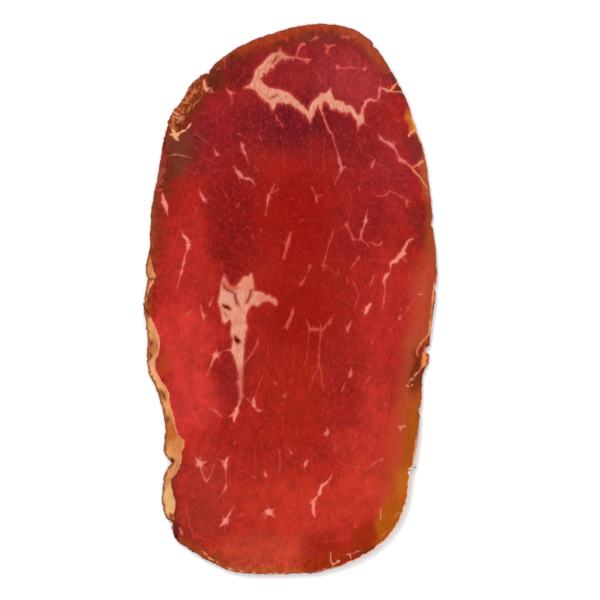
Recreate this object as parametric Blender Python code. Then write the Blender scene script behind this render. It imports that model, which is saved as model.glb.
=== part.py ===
"""A single slice of air-dried beef, cut thin across a pressed piece and lying on a flat surface.

The slice is one solid. Its plan is drawn in millimetres from the middle of the slice, with +Y towards the
crown, and it stands on Z = 0 with the origin under its middle. The middle of the underside is flat and the
dried rim lifts a little in a few places. The rind of fat on the left stands proud as a rounded roll, the
broad seams of fat are slightly raised, and the holes and cracks that the cut face shows are sunk into it.
"""

import math

import bmesh
import bpy
from mathutils import Matrix, Vector, geometry, kdtree, noise

MM = 0.001

# Driving sizes, in millimetres
SLICE_LENGTH = 150.2
SLICE_WIDTH = 80.0
SLICE_THICKNESS = 1.2
RIM_ROUNDING = 0.26
RIND_HEIGHT = 0.4
SEAM_HEIGHT = 0.14
LEAN_RIPPLE = 0.07

# Spacing of the points on the rim, over the lean, and on and beside the fat
RIM_SPACING = 0.8
LEAN_SPACING = 4.0
FAT_SPACING = 1.3
FAT_MARGIN = 1.3

# The outline, clockwise from the crown
CROWN = [
    (-5.0, 72.4), (2.0, 74.2), (8.0, 74.9), (15.6, 73.8), (20.4, 71.2), (23.6, 67.7), (27.0, 62.2), (29.9, 57.1),
]
RIGHT_SIDE = [
    (32.2, 51.6), (33.4, 47.4), (35.3, 42.3), (36.5, 37.3), (37.4, 31.0), (38.0, 25.6), (38.5, 18.6),
    (39.2, 13.2), (39.5, 7.0), (39.0, 1.0), (38.2, -4.8), (37.6, -10.4), (37.3, -16.0), (35.7, -20.6),
    (35.2, -26.6), (34.7, -32.2), (34.0, -39.8), (33.1, -44.8), (32.1, -48.8), (31.4, -54.0),
]
FOOT = [
    (29.5, -59.6), (26.4, -64.3), (21.6, -68.4), (16.4, -71.1), (10.8, -73.0), (5.0, -74.1), (-1.6, -74.3),
    (-7.4, -74.4), (-14.6, -73.8), (-20.0, -71.9), (-24.2, -69.5), (-29.6, -66.3), (-31.3, -64.4),
]
RIND_SIDE = [
    (-31.9, -62.0), (-32.0, -60.2), (-33.6, -59.3), (-34.7, -56.4), (-34.8, -51.0), (-34.0, -47.0),
    (-33.1, -44.2), (-34.4, -40.6), (-34.0, -34.4), (-35.0, -29.0), (-36.2, -24.4), (-38.5, -20.0),
    (-39.0, -15.6), (-38.7, -10.6), (-39.5, -5.4), (-39.7, -2.0), (-39.3, 1.6), (-39.0, 5.6), (-39.3, 9.6),
]
SHOULDER = [
    (-38.3, 13.4), (-38.1, 19.0), (-37.8, 24.6), (-36.7, 30.2), (-35.4, 37.2), (-34.3, 43.6), (-32.5, 49.8),
    (-29.4, 54.0), (-26.8, 58.8), (-22.2, 62.2), (-18.0, 66.1), (-12.2, 69.7),
]

# Nicks in the dried rim: place on the edge, depth and half width
RIM_NICKS = {
    "crown crack": ((22.6, 68.9), 0.5, 0.9),
    "seam end": ((30.4, 56.2), 0.4, 0.9),
    "right dimple": ((38.2, 20.6), 0.6, 1.2),
    "right chip": ((39.2, 3.2), 0.6, 1.3),
    "torn notch": ((37.5, -13.6), 1.7, 1.2),
    "lower right chip": ((34.9, -30.1), 0.5, 1.1),
    "amber notch": ((32.6, -46.5), 0.8, 1.1),
    "foot step": ((19.6, -69.4), 0.5, 1.0),
    "rind waist": ((-33.1, -44.3), 0.9, 1.2),
    "rind fold": ((-39.0, 5.6), 0.5, 1.1),
    "shoulder dimple": ((-37.9, 21.0), 0.4, 1.1),
    "shoulder chip": ((-22.5, 61.8), 0.7, 1.0),
}

# Raised fat: each point is x, y and half width
RIND_ROLL = [
    (-38.3, 8.6, 0.9), (-37.8, 6.0, 1.1), (-38.6, 2.4, 0.5), (-39.2, -3.0, 0.5), (-38.0, -7.4, 1.1),
    (-37.1, -12.4, 1.5), (-37.7, -18.0, 1.1), (-35.2, -24.6, 1.1), (-33.8, -29.0, 1.0), (-32.8, -34.4, 1.3),
    (-31.8, -39.6, 2.4), (-31.4, -44.4, 1.3), (-33.3, -50.4, 1.2), (-33.0, -57.6, 1.5),
]
CROWN_SEAM = [
    (-2.4, 67.2, 1.0), (-7.4, 63.2, 1.2), (-9.9, 58.9, 1.4), (-5.0, 55.4, 1.8), (-1.0, 55.0, 1.5),
    (5.2, 50.7, 1.2), (7.4, 54.2, 1.2), (10.6, 55.0, 1.4), (13.4, 52.6, 1.2), (16.6, 52.0, 1.0), (18.6, 48.8, 1.2),
]
HEART_SEAM = [
    (-12.5, 5.0, 1.5), (-12.8, 1.0, 2.0), (-14.0, -5.0, 2.3), (-14.1, -12.0, 1.8), (-13.8, -18.0, 1.0),
    (-13.5, -26.6, 0.7),
]
HEART_SEAM_LEFT = [(-18.3, 5.0, 0.8), (-17.9, 0.0, 1.8), (-17.6, -4.6, 1.0)]
HEART_SEAM_RIGHT = [(-13.0, -0.4, 1.4), (-8.8, 0.4, 1.3), (-4.4, -0.6, 0.7)]
SEAMS = [CROWN_SEAM, HEART_SEAM, HEART_SEAM_LEFT, HEART_SEAM_RIGHT]

# Holes and cracks in the cut face: middle, half length, half width, turn in degrees and depth
PITS = {
    "slot in the heart seam": ((-17.4, -2.3), 0.9, 0.4, 20.0, 0.5),
    "hole in the heart seam": ((-14.4, -11.3), 0.7, 0.6, 0.0, 0.6),
    "crack of the torn notch": ((35.3, -12.8), 2.2, 0.45, 55.0, 0.35),
    "crack beside the rind": ((-38.6, -3.6), 1.4, 0.4, 115.0, 0.35),
    "upper dent in the rind": ((-37.6, -12.0), 0.8, 0.45, 80.0, 0.3),
    "middle dent in the rind": ((-37.7, -15.4), 0.9, 0.45, 100.0, 0.3),
    "fold in the rind": ((-34.4, -26.4), 1.2, 0.4, 60.0, 0.35),
    "lower dent in the rind": ((-33.2, -32.8), 0.8, 0.45, 90.0, 0.3),
    "hole at the rind's waist": ((-32.0, -44.0), 0.6, 0.5, 0.0, 0.5),
}
PIT_CORNERS = 8
PIT_FLOOR = 0.45

# Where the rim lifts: direction from the middle in degrees from +X, height, and reach in degrees
RIM_LIFTS = {
    "crown": (72.0, 0.8, 54.0),
    "shoulder": (128.0, 0.5, 38.0),
    "rind": (196.0, 0.9, 32.0),
    "foot": (262.0, 1.0, 42.0),
    "amber corner": (302.0, 1.5, 35.0),
    "right side": (356.0, 0.7, 35.0),
}
LIFT_STARTS = 0.55
LIFT_ENDS = 1.02

# The rows of the side wall: how far each rises and how far it steps outwards
WALL_ROWS = [
    (0.30 * SLICE_THICKNESS, RIM_ROUNDING),
    (0.42 * SLICE_THICKNESS, 0.0),
    (0.28 * SLICE_THICKNESS, -RIM_ROUNDING),
]

LEAN_COLOUR = (0.34, 0.018, 0.018, 1.0)
FAT_COLOUR = (0.71, 0.33, 0.20, 1.0)
CRUST_COLOUR = (0.17, 0.045, 0.014, 1.0)


def smooth_step(low, high, value):
    """0 below low, 1 above high, and an S curve between."""
    share = min(1.0, max(0.0, (value - low) / (high - low)))
    return share * share * (3.0 - 2.0 * share)


def curve_through(points, spacing):
    """Evenly spaced points on a closed smooth curve through the given ones."""
    dense = []
    count = len(points)
    for i in range(count):
        before, here, after, beyond = (Vector(points[(i + k) % count]) for k in (-1, 0, 1, 2))
        out_handle = here + (after - before) / 6.0
        in_handle = after - (beyond - here) / 6.0
        dense += geometry.interpolate_bezier(here, out_handle, in_handle, after, 24)[:-1]
    ends = dense[1:] + dense[:1]
    lengths = [(b - a).length for a, b in zip(dense, ends)]
    wanted = round(sum(lengths) / spacing)
    step = sum(lengths) / wanted
    even = []
    walked = 0.0
    for a, b, length in zip(dense, ends, lengths):
        while len(even) < wanted and walked + length > len(even) * step:
            even.append(a.lerp(b, (len(even) * step - walked) / length))
        walked += length
    return even


def outward_normals(outline):
    """The unit normal at each point of a clockwise outline."""
    after = outline[1:] + outline[:1]
    before = outline[-1:] + outline[:-1]
    return [Vector((a.y - b.y, b.x - a.x)).normalized() for a, b in zip(before, after)]


def rough_edge(outline):
    """The outline with the crags of a dried, trimmed surface and with its named nicks."""
    rough = []
    for p, normal in zip(outline, outward_normals(outline)):
        step_out = 0.22 * noise.noise(Vector((p.x * 0.32, p.y * 0.32, 3.0)))
        step_out += 0.16 * noise.noise(Vector((p.x * 0.85, p.y * 0.85, 7.0)))
        for place, depth, half_width in RIM_NICKS.values():
            step_out -= depth * (1.0 - smooth_step(0.0, half_width, (p - Vector(place)).length))
        rough.append(p + normal * step_out)
    return rough


def fit_to_size(outline):
    """The outline stretched to the slice's length and width, round its own middle."""
    low = Vector((min(p.x for p in outline), min(p.y for p in outline)))
    high = Vector((max(p.x for p in outline), max(p.y for p in outline)))
    middle = (low + high) / 2.0
    across = SLICE_WIDTH / (high.x - low.x)
    along = SLICE_LENGTH / (high.y - low.y)
    return [Vector(((p.x - middle.x) * across, (p.y - middle.y) * along)) for p in outline]


def depth_in_band(x, y, band):
    """1 on the middle line of a band of fat, falling to 0 at its edge, and below 0 outside."""
    best = -math.inf
    here = Vector((x, y))
    for (ax, ay, a_half), (bx, by, b_half) in zip(band, band[1:]):
        a, b = Vector((ax, ay)), Vector((bx, by))
        share = min(1.0, max(0.0, (here - a).dot(b - a) / (b - a).length_squared))
        half_width = a_half + (b_half - a_half) * share
        best = max(best, 1.0 - (here - a.lerp(b, share)).length / half_width)
    return best


def rounded(depth):
    """The height of a rounded ridge from its depth_in_band, 0 to 1."""
    return math.sqrt(1.0 - (1.0 - max(0.0, depth)) ** 2)


def pit_radius(x, y, pit):
    """The distance from the middle of a pit, where 1 is its edge."""
    middle, half_length, half_width, turn, _ = pit
    away = Matrix.Rotation(-math.radians(turn), 2) @ (Vector((x, y)) - Vector(middle))
    return math.hypot(away.x / half_length, away.y / half_width)


def top_relief(x, y):
    """The height of the cut face over the slice's even thickness."""
    height = LEAN_RIPPLE * noise.noise(Vector((x * 0.11, y * 0.07, 11.0)))
    height += SEAM_HEIGHT * max(rounded(depth_in_band(x, y, seam)) for seam in SEAMS)
    height += RIND_HEIGHT * rounded(depth_in_band(x, y, RIND_ROLL))
    for pit in PITS.values():
        height -= pit[-1] * (1.0 - smooth_step(PIT_FLOOR, 1.0, pit_radius(x, y, pit)))
    return height


def rim_lift(x, y):
    """How far the underside stands off the surface below, which is nothing in the middle."""
    reach = math.hypot(x / (SLICE_WIDTH / 2.0), y / (SLICE_LENGTH / 2.0))
    direction = math.degrees(math.atan2(y, x))
    height = 0.0
    for middle, most, half_reach in RIM_LIFTS.values():
        turn = abs((direction - middle + 180.0) % 360.0 - 180.0)
        height += most * (1.0 - smooth_step(0.0, half_reach, turn))
    return height * smooth_step(LIFT_STARTS, LIFT_ENDS, reach) ** 2


def triangular_lattice(spacing):
    """Points of a triangular lattice over the slice's box."""
    row_height = spacing * math.sqrt(3.0) / 2.0
    rows = math.ceil(SLICE_LENGTH / 2.0 / row_height)
    columns = math.ceil(SLICE_WIDTH / 2.0 / spacing) + 1
    for row in range(-rows, rows + 1):
        shift = spacing / 2.0 if row % 2 else 0.0
        for column in range(-columns, columns + 1):
            yield Vector((column * spacing + shift, row * row_height))


def inside(point, outline):
    """Whether a point lies within the outline, by counting its crossings to the right."""
    crossings = 0
    for a, b in zip(outline, outline[1:] + outline[:1]):
        if (a.y > point.y) != (b.y > point.y):
            crossings += a.x + (point.y - a.y) * (b.x - a.x) / (b.y - a.y) > point.x
    return crossings % 2 == 1


def near_fat(point):
    """Whether a point is on a raised band or just beside it, where the points stand closer."""
    for band in [RIND_ROLL, *SEAMS]:
        widest = max(half for _, _, half in band)
        if depth_in_band(point.x, point.y, band) * widest > -FAT_MARGIN:
            return True
    return False


def pit_points():
    """The points round the edge and the floor of each pit, with the one in its middle."""
    for middle, half_length, half_width, turn, _ in PITS.values():
        yield Vector(middle)
        for radius in (PIT_FLOOR, 1.0):
            for i in range(PIT_CORNERS):
                angle = math.tau * i / PIT_CORNERS
                corner = Vector((half_length * math.cos(angle), half_width * math.sin(angle))) * radius
                yield Vector(middle) + Matrix.Rotation(math.radians(turn), 2) @ corner


def field_points(outline):
    """The points within the outline: the pits' own, a fine lattice by the fat and a wide one on the lean."""
    edge = kdtree.KDTree(len(outline))
    for i, p in enumerate(outline):
        edge.insert((p.x, p.y, 0.0), i)
    edge.balance()
    chosen = [p for p in pit_points() if inside(p, outline) and edge.find((p.x, p.y, 0.0))[2] > 0.3]
    for spacing, on_fat in ((FAT_SPACING, True), (LEAN_SPACING, False)):
        for p in triangular_lattice(spacing):
            if edge.find((p.x, p.y, 0.0))[2] < 0.6 * spacing or not inside(p, outline):
                continue
            if near_fat(p) == on_fat and min(pit_radius(p.x, p.y, pit) for pit in PITS.values()) > 1.5:
                chosen.append(p)
    return chosen


def plan_sheet(outline):
    """A flat triangulated sheet of the slice that faces down, in millimetres."""
    ring = [(i, (i + 1) % len(outline)) for i in range(len(outline))]
    inside_only = 1
    points = outline + field_points(outline)
    corners, _, faces, *_ = geometry.delaunay_2d_cdt(points, ring, [], inside_only, 1e-5)
    sheet = bmesh.new()
    verts = [sheet.verts.new((p.x, p.y, 0.0)) for p in corners]
    for face in faces:
        sheet.faces.new([verts[i] for i in face])
    bmesh.ops.recalc_face_normals(sheet, faces=sheet.faces)
    if sum(face.normal.z for face in sheet.faces) > 0.0:
        bmesh.ops.reverse_faces(sheet, faces=sheet.faces)
    return sheet


def step_rim(faces, distance):
    """Moves the border of a level set of faces outwards, or inwards where distance is negative."""
    own = set(faces)
    moves = {}
    for loop in (loop for face in faces for loop in face.loops):
        if sum(other in own for other in loop.edge.link_faces) == 1:
            a, b = loop.vert, loop.link_loop_next.vert
            across = Vector((b.co.y - a.co.y, a.co.x - b.co.x, 0.0)).normalized()
            if across.dot(a.co - loop.face.calc_center_median()) < 0.0:
                across.negate()
            for v in (a, b):
                moves[v] = moves.get(v, Vector()) + across
    for v, move in moves.items():
        v.co += move.normalized() * distance


def raise_wall(sheet):
    """Extrudes the sheet into the slice, row by row, and returns the points of its cut face."""
    step_rim(sheet.faces[:], -RIM_ROUNDING)
    top = sheet.faces[:]
    for i, (rise, step_out) in enumerate(WALL_ROWS):
        made = bmesh.ops.extrude_face_region(sheet, geom=top)["geom"]
        if i:
            bmesh.ops.delete(sheet, geom=top, context="FACES")
        top = [g for g in made if isinstance(g, bmesh.types.BMFace)]
        verts = {v for face in top for v in face.verts}
        bmesh.ops.translate(sheet, verts=list(verts), vec=(0.0, 0.0, rise))
        step_rim(top, step_out)
    return {v for face in top for v in face.verts}


def shape_surfaces(solid, cut_face):
    """Gives the cut face its relief, and bends the slice where its rim lifts."""
    for v in solid.verts:
        if v in cut_face:
            v.co.z += top_relief(v.co.x, v.co.y)
        v.co.z += rim_lift(v.co.x, v.co.y)


def assign_materials(solid):
    """Slot 0 is the lean, 1 the fat and 2 the dried crust round the rim."""
    for face in solid.faces:
        middle = face.calc_center_median()
        if abs(face.normal.z) < 0.5:
            face.material_index = 2
        elif max(depth_in_band(middle.x, middle.y, band) for band in [RIND_ROLL, *SEAMS]) > 0.0:
            face.material_index = 1


def make_material(name, colour, roughness):
    material = bpy.data.materials.new(name)
    material.use_nodes = True
    surface = material.node_tree.nodes["Principled BSDF"]
    surface.inputs["Base Color"].default_value = colour
    surface.inputs["Roughness"].default_value = roughness
    return material


def build_slice():
    outline = curve_through(CROWN + RIGHT_SIDE + FOOT + RIND_SIDE + SHOULDER, RIM_SPACING)
    solid = plan_sheet(fit_to_size(rough_edge(outline)))
    cut_face = raise_wall(solid)
    shape_surfaces(solid, cut_face)
    bmesh.ops.triangulate(solid, faces=solid.faces)
    bmesh.ops.recalc_face_normals(solid, faces=solid.faces)
    assign_materials(solid)
    bmesh.ops.scale(solid, verts=solid.verts, vec=(MM, MM, MM))
    mesh = bpy.data.meshes.new("meat_slice")
    solid.to_mesh(mesh)
    solid.free()
    mesh.materials.append(make_material("lean", LEAN_COLOUR, 0.45))
    mesh.materials.append(make_material("fat", FAT_COLOUR, 0.4))
    mesh.materials.append(make_material("crust", CRUST_COLOUR, 0.6))
    mesh.shade_smooth()
    mesh.set_sharp_from_angle(angle=math.radians(50.0))
    bpy.context.scene.collection.objects.link(bpy.data.objects.new("meat_slice", mesh))


for old in list(bpy.data.objects):
    bpy.data.objects.remove(old)
build_slice()
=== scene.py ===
# %% [markdown]
# # A slice of air-dried beef
# The slice is cut thin across a pressed and dried piece, so its face shows dark red lean, seams and
# threads of fat, and round the edge a crust that the drying air has turned brown and amber. The plain
# solid that carries it is loaded first and is never changed. Everything here is drawn in millimetres
# from the middle of the slice, with +Y towards the crown, and is turned into metres at the end.

# %% The carried solid
import math
import random

import bmesh
import bpy
import numpy as np
from mathutils import Matrix, Vector, noise


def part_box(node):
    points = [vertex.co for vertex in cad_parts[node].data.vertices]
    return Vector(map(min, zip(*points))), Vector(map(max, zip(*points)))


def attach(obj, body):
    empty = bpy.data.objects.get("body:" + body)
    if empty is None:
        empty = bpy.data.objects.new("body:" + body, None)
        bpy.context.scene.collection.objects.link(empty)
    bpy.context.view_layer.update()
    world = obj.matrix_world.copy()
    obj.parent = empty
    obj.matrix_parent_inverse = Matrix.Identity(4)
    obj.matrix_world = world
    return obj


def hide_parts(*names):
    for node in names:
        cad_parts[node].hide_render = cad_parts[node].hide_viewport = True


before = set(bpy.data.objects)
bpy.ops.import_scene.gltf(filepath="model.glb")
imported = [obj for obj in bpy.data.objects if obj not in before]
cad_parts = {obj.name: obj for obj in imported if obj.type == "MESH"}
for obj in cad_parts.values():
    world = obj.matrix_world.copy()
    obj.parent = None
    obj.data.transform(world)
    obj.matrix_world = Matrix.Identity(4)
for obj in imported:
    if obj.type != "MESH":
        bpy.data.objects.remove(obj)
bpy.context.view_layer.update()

MM = 0.001
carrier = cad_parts["meat_slice"]
low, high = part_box("meat_slice")
print("carried solid", [round(side / MM, 2) for side in high - low], "mm")

# %% [markdown]
# ## The view
# The slice was seen from straight above, in a square picture. A long lens far above keeps both ends at
# one scale. The slice stands a little left of the picture's middle.

# %% Camera
PICTURE_WIDTH = 163.6
PICTURE_MIDDLE = (2.59, -0.27)
CUT_FACE_HEIGHT = 1.3
LENS = 100.0
SENSOR = 36.0

camera = bpy.data.objects.new("camera", bpy.data.cameras.new("camera"))
camera.data.lens = LENS
camera.data.sensor_width = SENSOR
distance = PICTURE_WIDTH * LENS / SENSOR
camera.location = (PICTURE_MIDDLE[0] * MM, PICTURE_MIDDLE[1] * MM, (CUT_FACE_HEIGHT + distance) * MM)
bpy.context.scene.collection.objects.link(camera)
bpy.context.scene.camera = camera
print("camera", round(distance), "mm above the cut face")

# %% [markdown]
# ## Floor and light
# The light is that of a packshot: a white table, a bright ring of soft light halfway up all round, and
# one large softbox up on the left, so that a thin soft shadow falls to the right and to the foot. It is
# darker straight above and near the horizon, because a bright ceiling would lie as a pale film on the
# moist red face when it is seen from above, and a bright horizon when it is seen from the side.

# %% Floor
FLOOR_SIZE = 1.5


def make_floor():
    """A plain white table under the slice."""
    bm = bmesh.new()
    bmesh.ops.create_grid(bm, x_segments=1, y_segments=1, size=FLOOR_SIZE)
    mesh = bpy.data.meshes.new("floor")
    bm.to_mesh(mesh)
    bm.free()
    floor = bpy.data.objects.new("floor", mesh)
    bpy.context.scene.collection.objects.link(floor)
    paint = bpy.data.materials.new("white table")
    paint.use_nodes = True
    surface = paint.node_tree.nodes["Principled BSDF"]
    surface.inputs["Base Color"].default_value = (0.96, 0.96, 0.97, 1.0)
    surface.inputs["Roughness"].default_value = 1.0
    surface.inputs["Specular IOR Level"].default_value = 0.0
    mesh.materials.append(paint)
    return floor


floor = make_floor()
print("floor", floor.dimensions.x, "m wide")

# %% Light
SKY_LIGHT = ((0.0, 0.8), (0.3, 0.8), (0.45, 1.36), (0.82, 1.36), (0.95, 0.25), (1.0, 0.25))
SOFTBOX_POWER = 23.7
SOFTBOX_SIZE = 1.0
SOFTBOX_PLACE = Vector((-0.9, 1.5, 1.75))


def light_the_room():
    """A world whose light depends on the height above the horizon alone: pairs of height and light."""
    world = bpy.data.worlds.new("studio")
    world.use_nodes = True
    tree = world.node_tree
    direction = tree.nodes.new("ShaderNodeTexCoord")
    parts = tree.nodes.new("ShaderNodeSeparateXYZ")
    tree.links.new(direction.outputs["Generated"], parts.inputs["Vector"])
    light = SKY_LIGHT[0][1]
    for (height, below), (next_height, above) in zip(SKY_LIGHT, SKY_LIGHT[1:]):
        rise = tree.nodes.new("ShaderNodeMapRange")
        rise.interpolation_type = "SMOOTHSTEP"
        rise.inputs["From Min"].default_value = height
        rise.inputs["From Max"].default_value = next_height
        rise.inputs["To Max"].default_value = above - below
        tree.links.new(parts.outputs["Z"], rise.inputs["Value"])
        total = tree.nodes.new("ShaderNodeMath")
        if isinstance(light, float):
            total.inputs[0].default_value = light
        else:
            tree.links.new(light, total.inputs[0])
        tree.links.new(rise.outputs["Result"], total.inputs[1])
        light = total.outputs[0]
    tree.nodes["Background"].inputs["Color"].default_value = (1.0, 1.0, 1.0, 1.0)
    tree.links.new(light, tree.nodes["Background"].inputs["Strength"])
    bpy.context.scene.world = world


def hang_softbox():
    """One large soft light up on the left."""
    lamp = bpy.data.lights.new("softbox", "AREA")
    lamp.energy = SOFTBOX_POWER
    lamp.size = SOFTBOX_SIZE
    softbox = bpy.data.objects.new("softbox", lamp)
    softbox.location = SOFTBOX_PLACE
    softbox.rotation_euler = (-SOFTBOX_PLACE).to_track_quat("-Z", "Y").to_euler()
    bpy.context.scene.collection.objects.link(softbox)
    return softbox


light_the_room()
softbox = hang_softbox()
bpy.context.scene.view_settings.view_transform = "Standard"
print("softbox", round(SOFTBOX_PLACE.length, 2), "m away")

# %% [markdown]
# ## The seams of fat
# Fat runs through the lean in two broad seams, in short forked flecks and in threads as thin as a hair.
# They could be painted, but a drawing of their middle lines and widths keeps them sharp at any size and
# also lets the surface rise over them. Each stroke is a list of points, x, y and width, after a number
# from 0 to 1 that says how pale it is. The two broad seams and the rind have outlines instead.

# %% Outlines of the broad seams
CROWN_SEAM = [
    (-2.9, 68.4), (-2.5, 67.5), (-0.9, 66.3), (1.3, 65.8), (-1.0, 65.4), (-1.6, 65.1),
    (-2.3, 65.5), (-3.4, 64.7), (-4.2, 63.7), (-4.6, 62.9), (-5.6, 63.0), (-6.7, 61.2),
    (-7.3, 61.6), (-7.6, 60.7), (-8.3, 60.2), (-7.3, 58.7), (-5.5, 57.5), (-2.9, 57.2),
    (-0.9, 56.4), (0.0, 56.0), (1.4, 54.5), (2.3, 53.8), (2.8, 53.0), (3.6, 52.8), (4.7, 51.2),
    (5.1, 52.4), (5.9, 53.8), (7.7, 55.4), (8.2, 56.2), (9.6, 56.3), (11.0, 57.4), (11.3, 56.2),
    (12.0, 54.4), (14.2, 53.8), (15.0, 52.9), (16.4, 52.8), (17.1, 52.2), (18.2, 50.3),
    (18.9, 50.3), (19.2, 51.6), (20.4, 53.9), (20.9, 53.4), (20.0, 52.0), (19.9, 50.6),
    (20.2, 48.2), (18.9, 47.3), (18.4, 46.0), (18.0, 48.7), (17.3, 49.2), (16.6, 50.7),
    (15.9, 50.9), (15.3, 50.6), (14.7, 51.1), (13.9, 50.8), (12.4, 51.9), (11.0, 51.6),
    (10.4, 53.2), (9.8, 53.8), (9.1, 53.7), (8.4, 51.7), (7.9, 51.9), (7.5, 52.8), (6.7, 51.0),
    (5.9, 49.4), (5.4, 47.8), (5.1, 48.8), (4.1, 50.3), (2.7, 51.2), (1.6, 52.1), (0.5, 52.6),
    (0.1, 53.3), (-1.2, 53.0), (-1.9, 53.6), (-3.9, 53.3), (-4.1, 52.2), (-4.5, 51.6),
    (-5.1, 51.9), (-5.9, 53.5), (-7.5, 54.4), (-9.8, 57.0), (-11.0, 57.2), (-12.9, 57.6),
    (-11.4, 58.3), (-10.2, 60.1), (-9.6, 62.4), (-8.7, 63.5), (-7.7, 64.1), (-6.1, 66.1),
    (-5.1, 66.9), (-3.4, 67.3),
]
HEART_SEAM = [
    (-18.1, 6.7), (-17.3, 5.2), (-16.7, 4.0), (-15.8, 3.4), (-14.6, 3.7), (-13.3, 5.7),
    (-12.4, 6.2), (-11.4, 6.3), (-10.8, 7.2), (-10.3, 6.6), (-10.1, 4.8), (-9.8, 3.0),
    (-10.1, 2.3), (-8.7, 2.2), (-7.6, 1.9), (-6.6, 1.0), (-5.6, 1.2), (-5.1, 0.4), (-4.2, 0.3),
    (-3.6, -0.6), (-3.6, -1.7), (-4.3, -1.7), (-5.1, -0.9), (-6.0, -0.6), (-7.4, -0.8),
    (-9.0, -2.0), (-10.3, -1.6), (-11.0, -2.2), (-12.1, -4.3), (-12.1, -6.3), (-11.5, -7.8),
    (-12.1, -9.2), (-12.6, -13.5), (-12.9, -18.5), (-13.1, -23.0), (-13.0, -25.4), (-12.7, -26.5),
    (-13.3, -27.2), (-14.0, -28.4), (-13.9, -26.0), (-14.1, -24.3), (-14.6, -22.8), (-14.1, -21.8),
    (-14.2, -20.2), (-15.2, -16.8), (-15.7, -15.3), (-16.4, -14.1), (-15.9, -12.6), (-15.8, -11.0),
    (-16.4, -9.6), (-16.1, -6.2), (-16.6, -5.6), (-17.2, -6.3), (-18.0, -7.0), (-18.6, -6.2),
    (-18.9, -4.5), (-19.2, -2.6), (-19.9, -0.8), (-19.5, 0.6), (-19.0, 4.2), (-18.6, 5.8),
]
RIND_OUTLINE = [
    (-38.3, 12.2), (-37.6, 8.6), (-36.7, 6.2), (-37.2, 5.3), (-37.3, 4.3), (-38.5, 2.6),
    (-39.2, 0.0), (-39.3, -2.2), (-38.5, -4.0), (-36.8, -7.5), (-35.8, -10.0), (-35.5, -13.0),
    (-35.9, -15.0), (-36.7, -16.5), (-36.8, -18.5), (-36.3, -20.0), (-35.0, -22.5), (-33.8, -24.0),
    (-33.0, -26.0), (-32.9, -28.0), (-32.4, -30.0), (-31.8, -32.0), (-31.3, -34.5), (-30.5, -37.0),
    (-29.0, -38.5), (-28.8, -40.0), (-29.6, -42.0), (-29.7, -44.0), (-30.2, -46.0), (-31.3, -48.0),
    (-32.4, -49.0), (-32.5, -50.5), (-32.0, -53.0), (-31.4, -55.0), (-31.4, -57.0), (-31.8, -58.5),
    (-31.6, -60.0), (-34.0, -62.0), (-44.0, -62.0), (-44.0, 12.2),
]
print("outlines", len(CROWN_SEAM), len(HEART_SEAM), len(RIND_OUTLINE), "points")

# %% Strokes of the crown
CROWN_FLECKS = [
    (0.8, (3.9, 69.5, 0.7), (2.9, 69.3, 0.6), (2.2, 68.0, 0.6), (1.9, 66.8, 0.6), (1.6, 65.9, 0.7),
     (3.0, 65.3, 0.5), (4.3, 65.1, 0.9), (5.5, 65.3, 0.5), (6.1, 65.6, 0.2)),
    (0.8, (4.4, 65.0, 0.8), (4.3, 63.9, 0.2)),
    (0.55, (6.9, 71.1, 0.9), (6.3, 70.9, 0.7), (5.4, 70.2, 0.3)),
    (0.7, (9.5, 69.3, 0.4), (10.2, 68.5, 0.9), (11.0, 69.0, 0.5), (12.3, 69.3, 0.4)),
    (0.6, (10.2, 68.5, 0.5), (9.9, 67.2, 0.8), (10.6, 66.4, 0.2)),
    (0.6, (14.2, 71.3, 0.8), (15.8, 71.2, 0.8)),
    (0.5, (17.0, 71.6, 0.6), (17.4, 71.5, 0.5)),
    (0.8, (12.5, 62.5, 0.3), (12.9, 63.3, 0.9), (13.6, 62.8, 0.5), (15.7, 62.9, 0.3),
     (16.0, 63.1, 0.5), (19.0, 62.8, 0.25), (20.1, 62.6, 0.7), (20.6, 63.4, 0.2)),
    (0.35, (7.0, 62.3, 0.2), (7.9, 60.6, 0.5), (8.0, 59.2, 0.2)),
    (0.7, (20.4, 53.7, 0.9), (21.4, 54.4, 0.8), (22.8, 54.0, 0.7), (23.8, 54.4, 0.6),
     (24.1, 55.5, 0.7), (24.3, 57.2, 0.8), (24.5, 58.8, 0.4), (24.6, 60.2, 0.1)),
    (0.7, (24.6, 57.4, 0.6), (26.0, 56.9, 0.8), (27.2, 56.7, 0.5), (28.2, 57.8, 0.7),
     (29.0, 58.8, 0.6)),
    (0.6, (27.2, 56.8, 0.5), (28.6, 56.4, 0.4), (30.2, 56.4, 0.3)),
    (0.8, (8.1, 52.0, 0.9), (9.0, 49.8, 0.45), (9.7, 48.0, 0.4), (10.2, 46.4, 0.55),
     (11.3, 45.1, 0.4), (12.0, 42.5, 0.3), (13.0, 39.5, 0.35), (13.3, 38.0, 0.8),
     (13.8, 36.3, 0.8), (14.0, 35.5, 1.0), (13.4, 34.0, 0.5), (12.5, 32.5, 0.35),
     (12.2, 31.0, 0.2)),
    (0.8, (13.9, 35.8, 0.7), (15.2, 36.0, 0.4)),
    (0.4, (10.2, 46.0, 0.4), (11.4, 44.4, 0.2)),
    (0.4, (19.5, 48.3, 0.6), (21.5, 47.0, 0.4)),
    (0.6, (5.5, 46.6, 0.3), (5.7, 46.2, 0.4)),
    (0.35, (9.3, 44.0, 0.25), (9.2, 40.0, 0.2), (9.0, 34.5, 0.2)),
    (0.6, (-4.1, 50.3, 0.3), (-3.6, 49.0, 0.65), (-2.8, 48.2, 0.4), (-2.1, 46.7, 0.25)),
    (0.5, (-3.6, 49.0, 0.4), (-3.9, 48.2, 0.2)),
]
print("strokes of the crown", len(CROWN_FLECKS))

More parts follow.
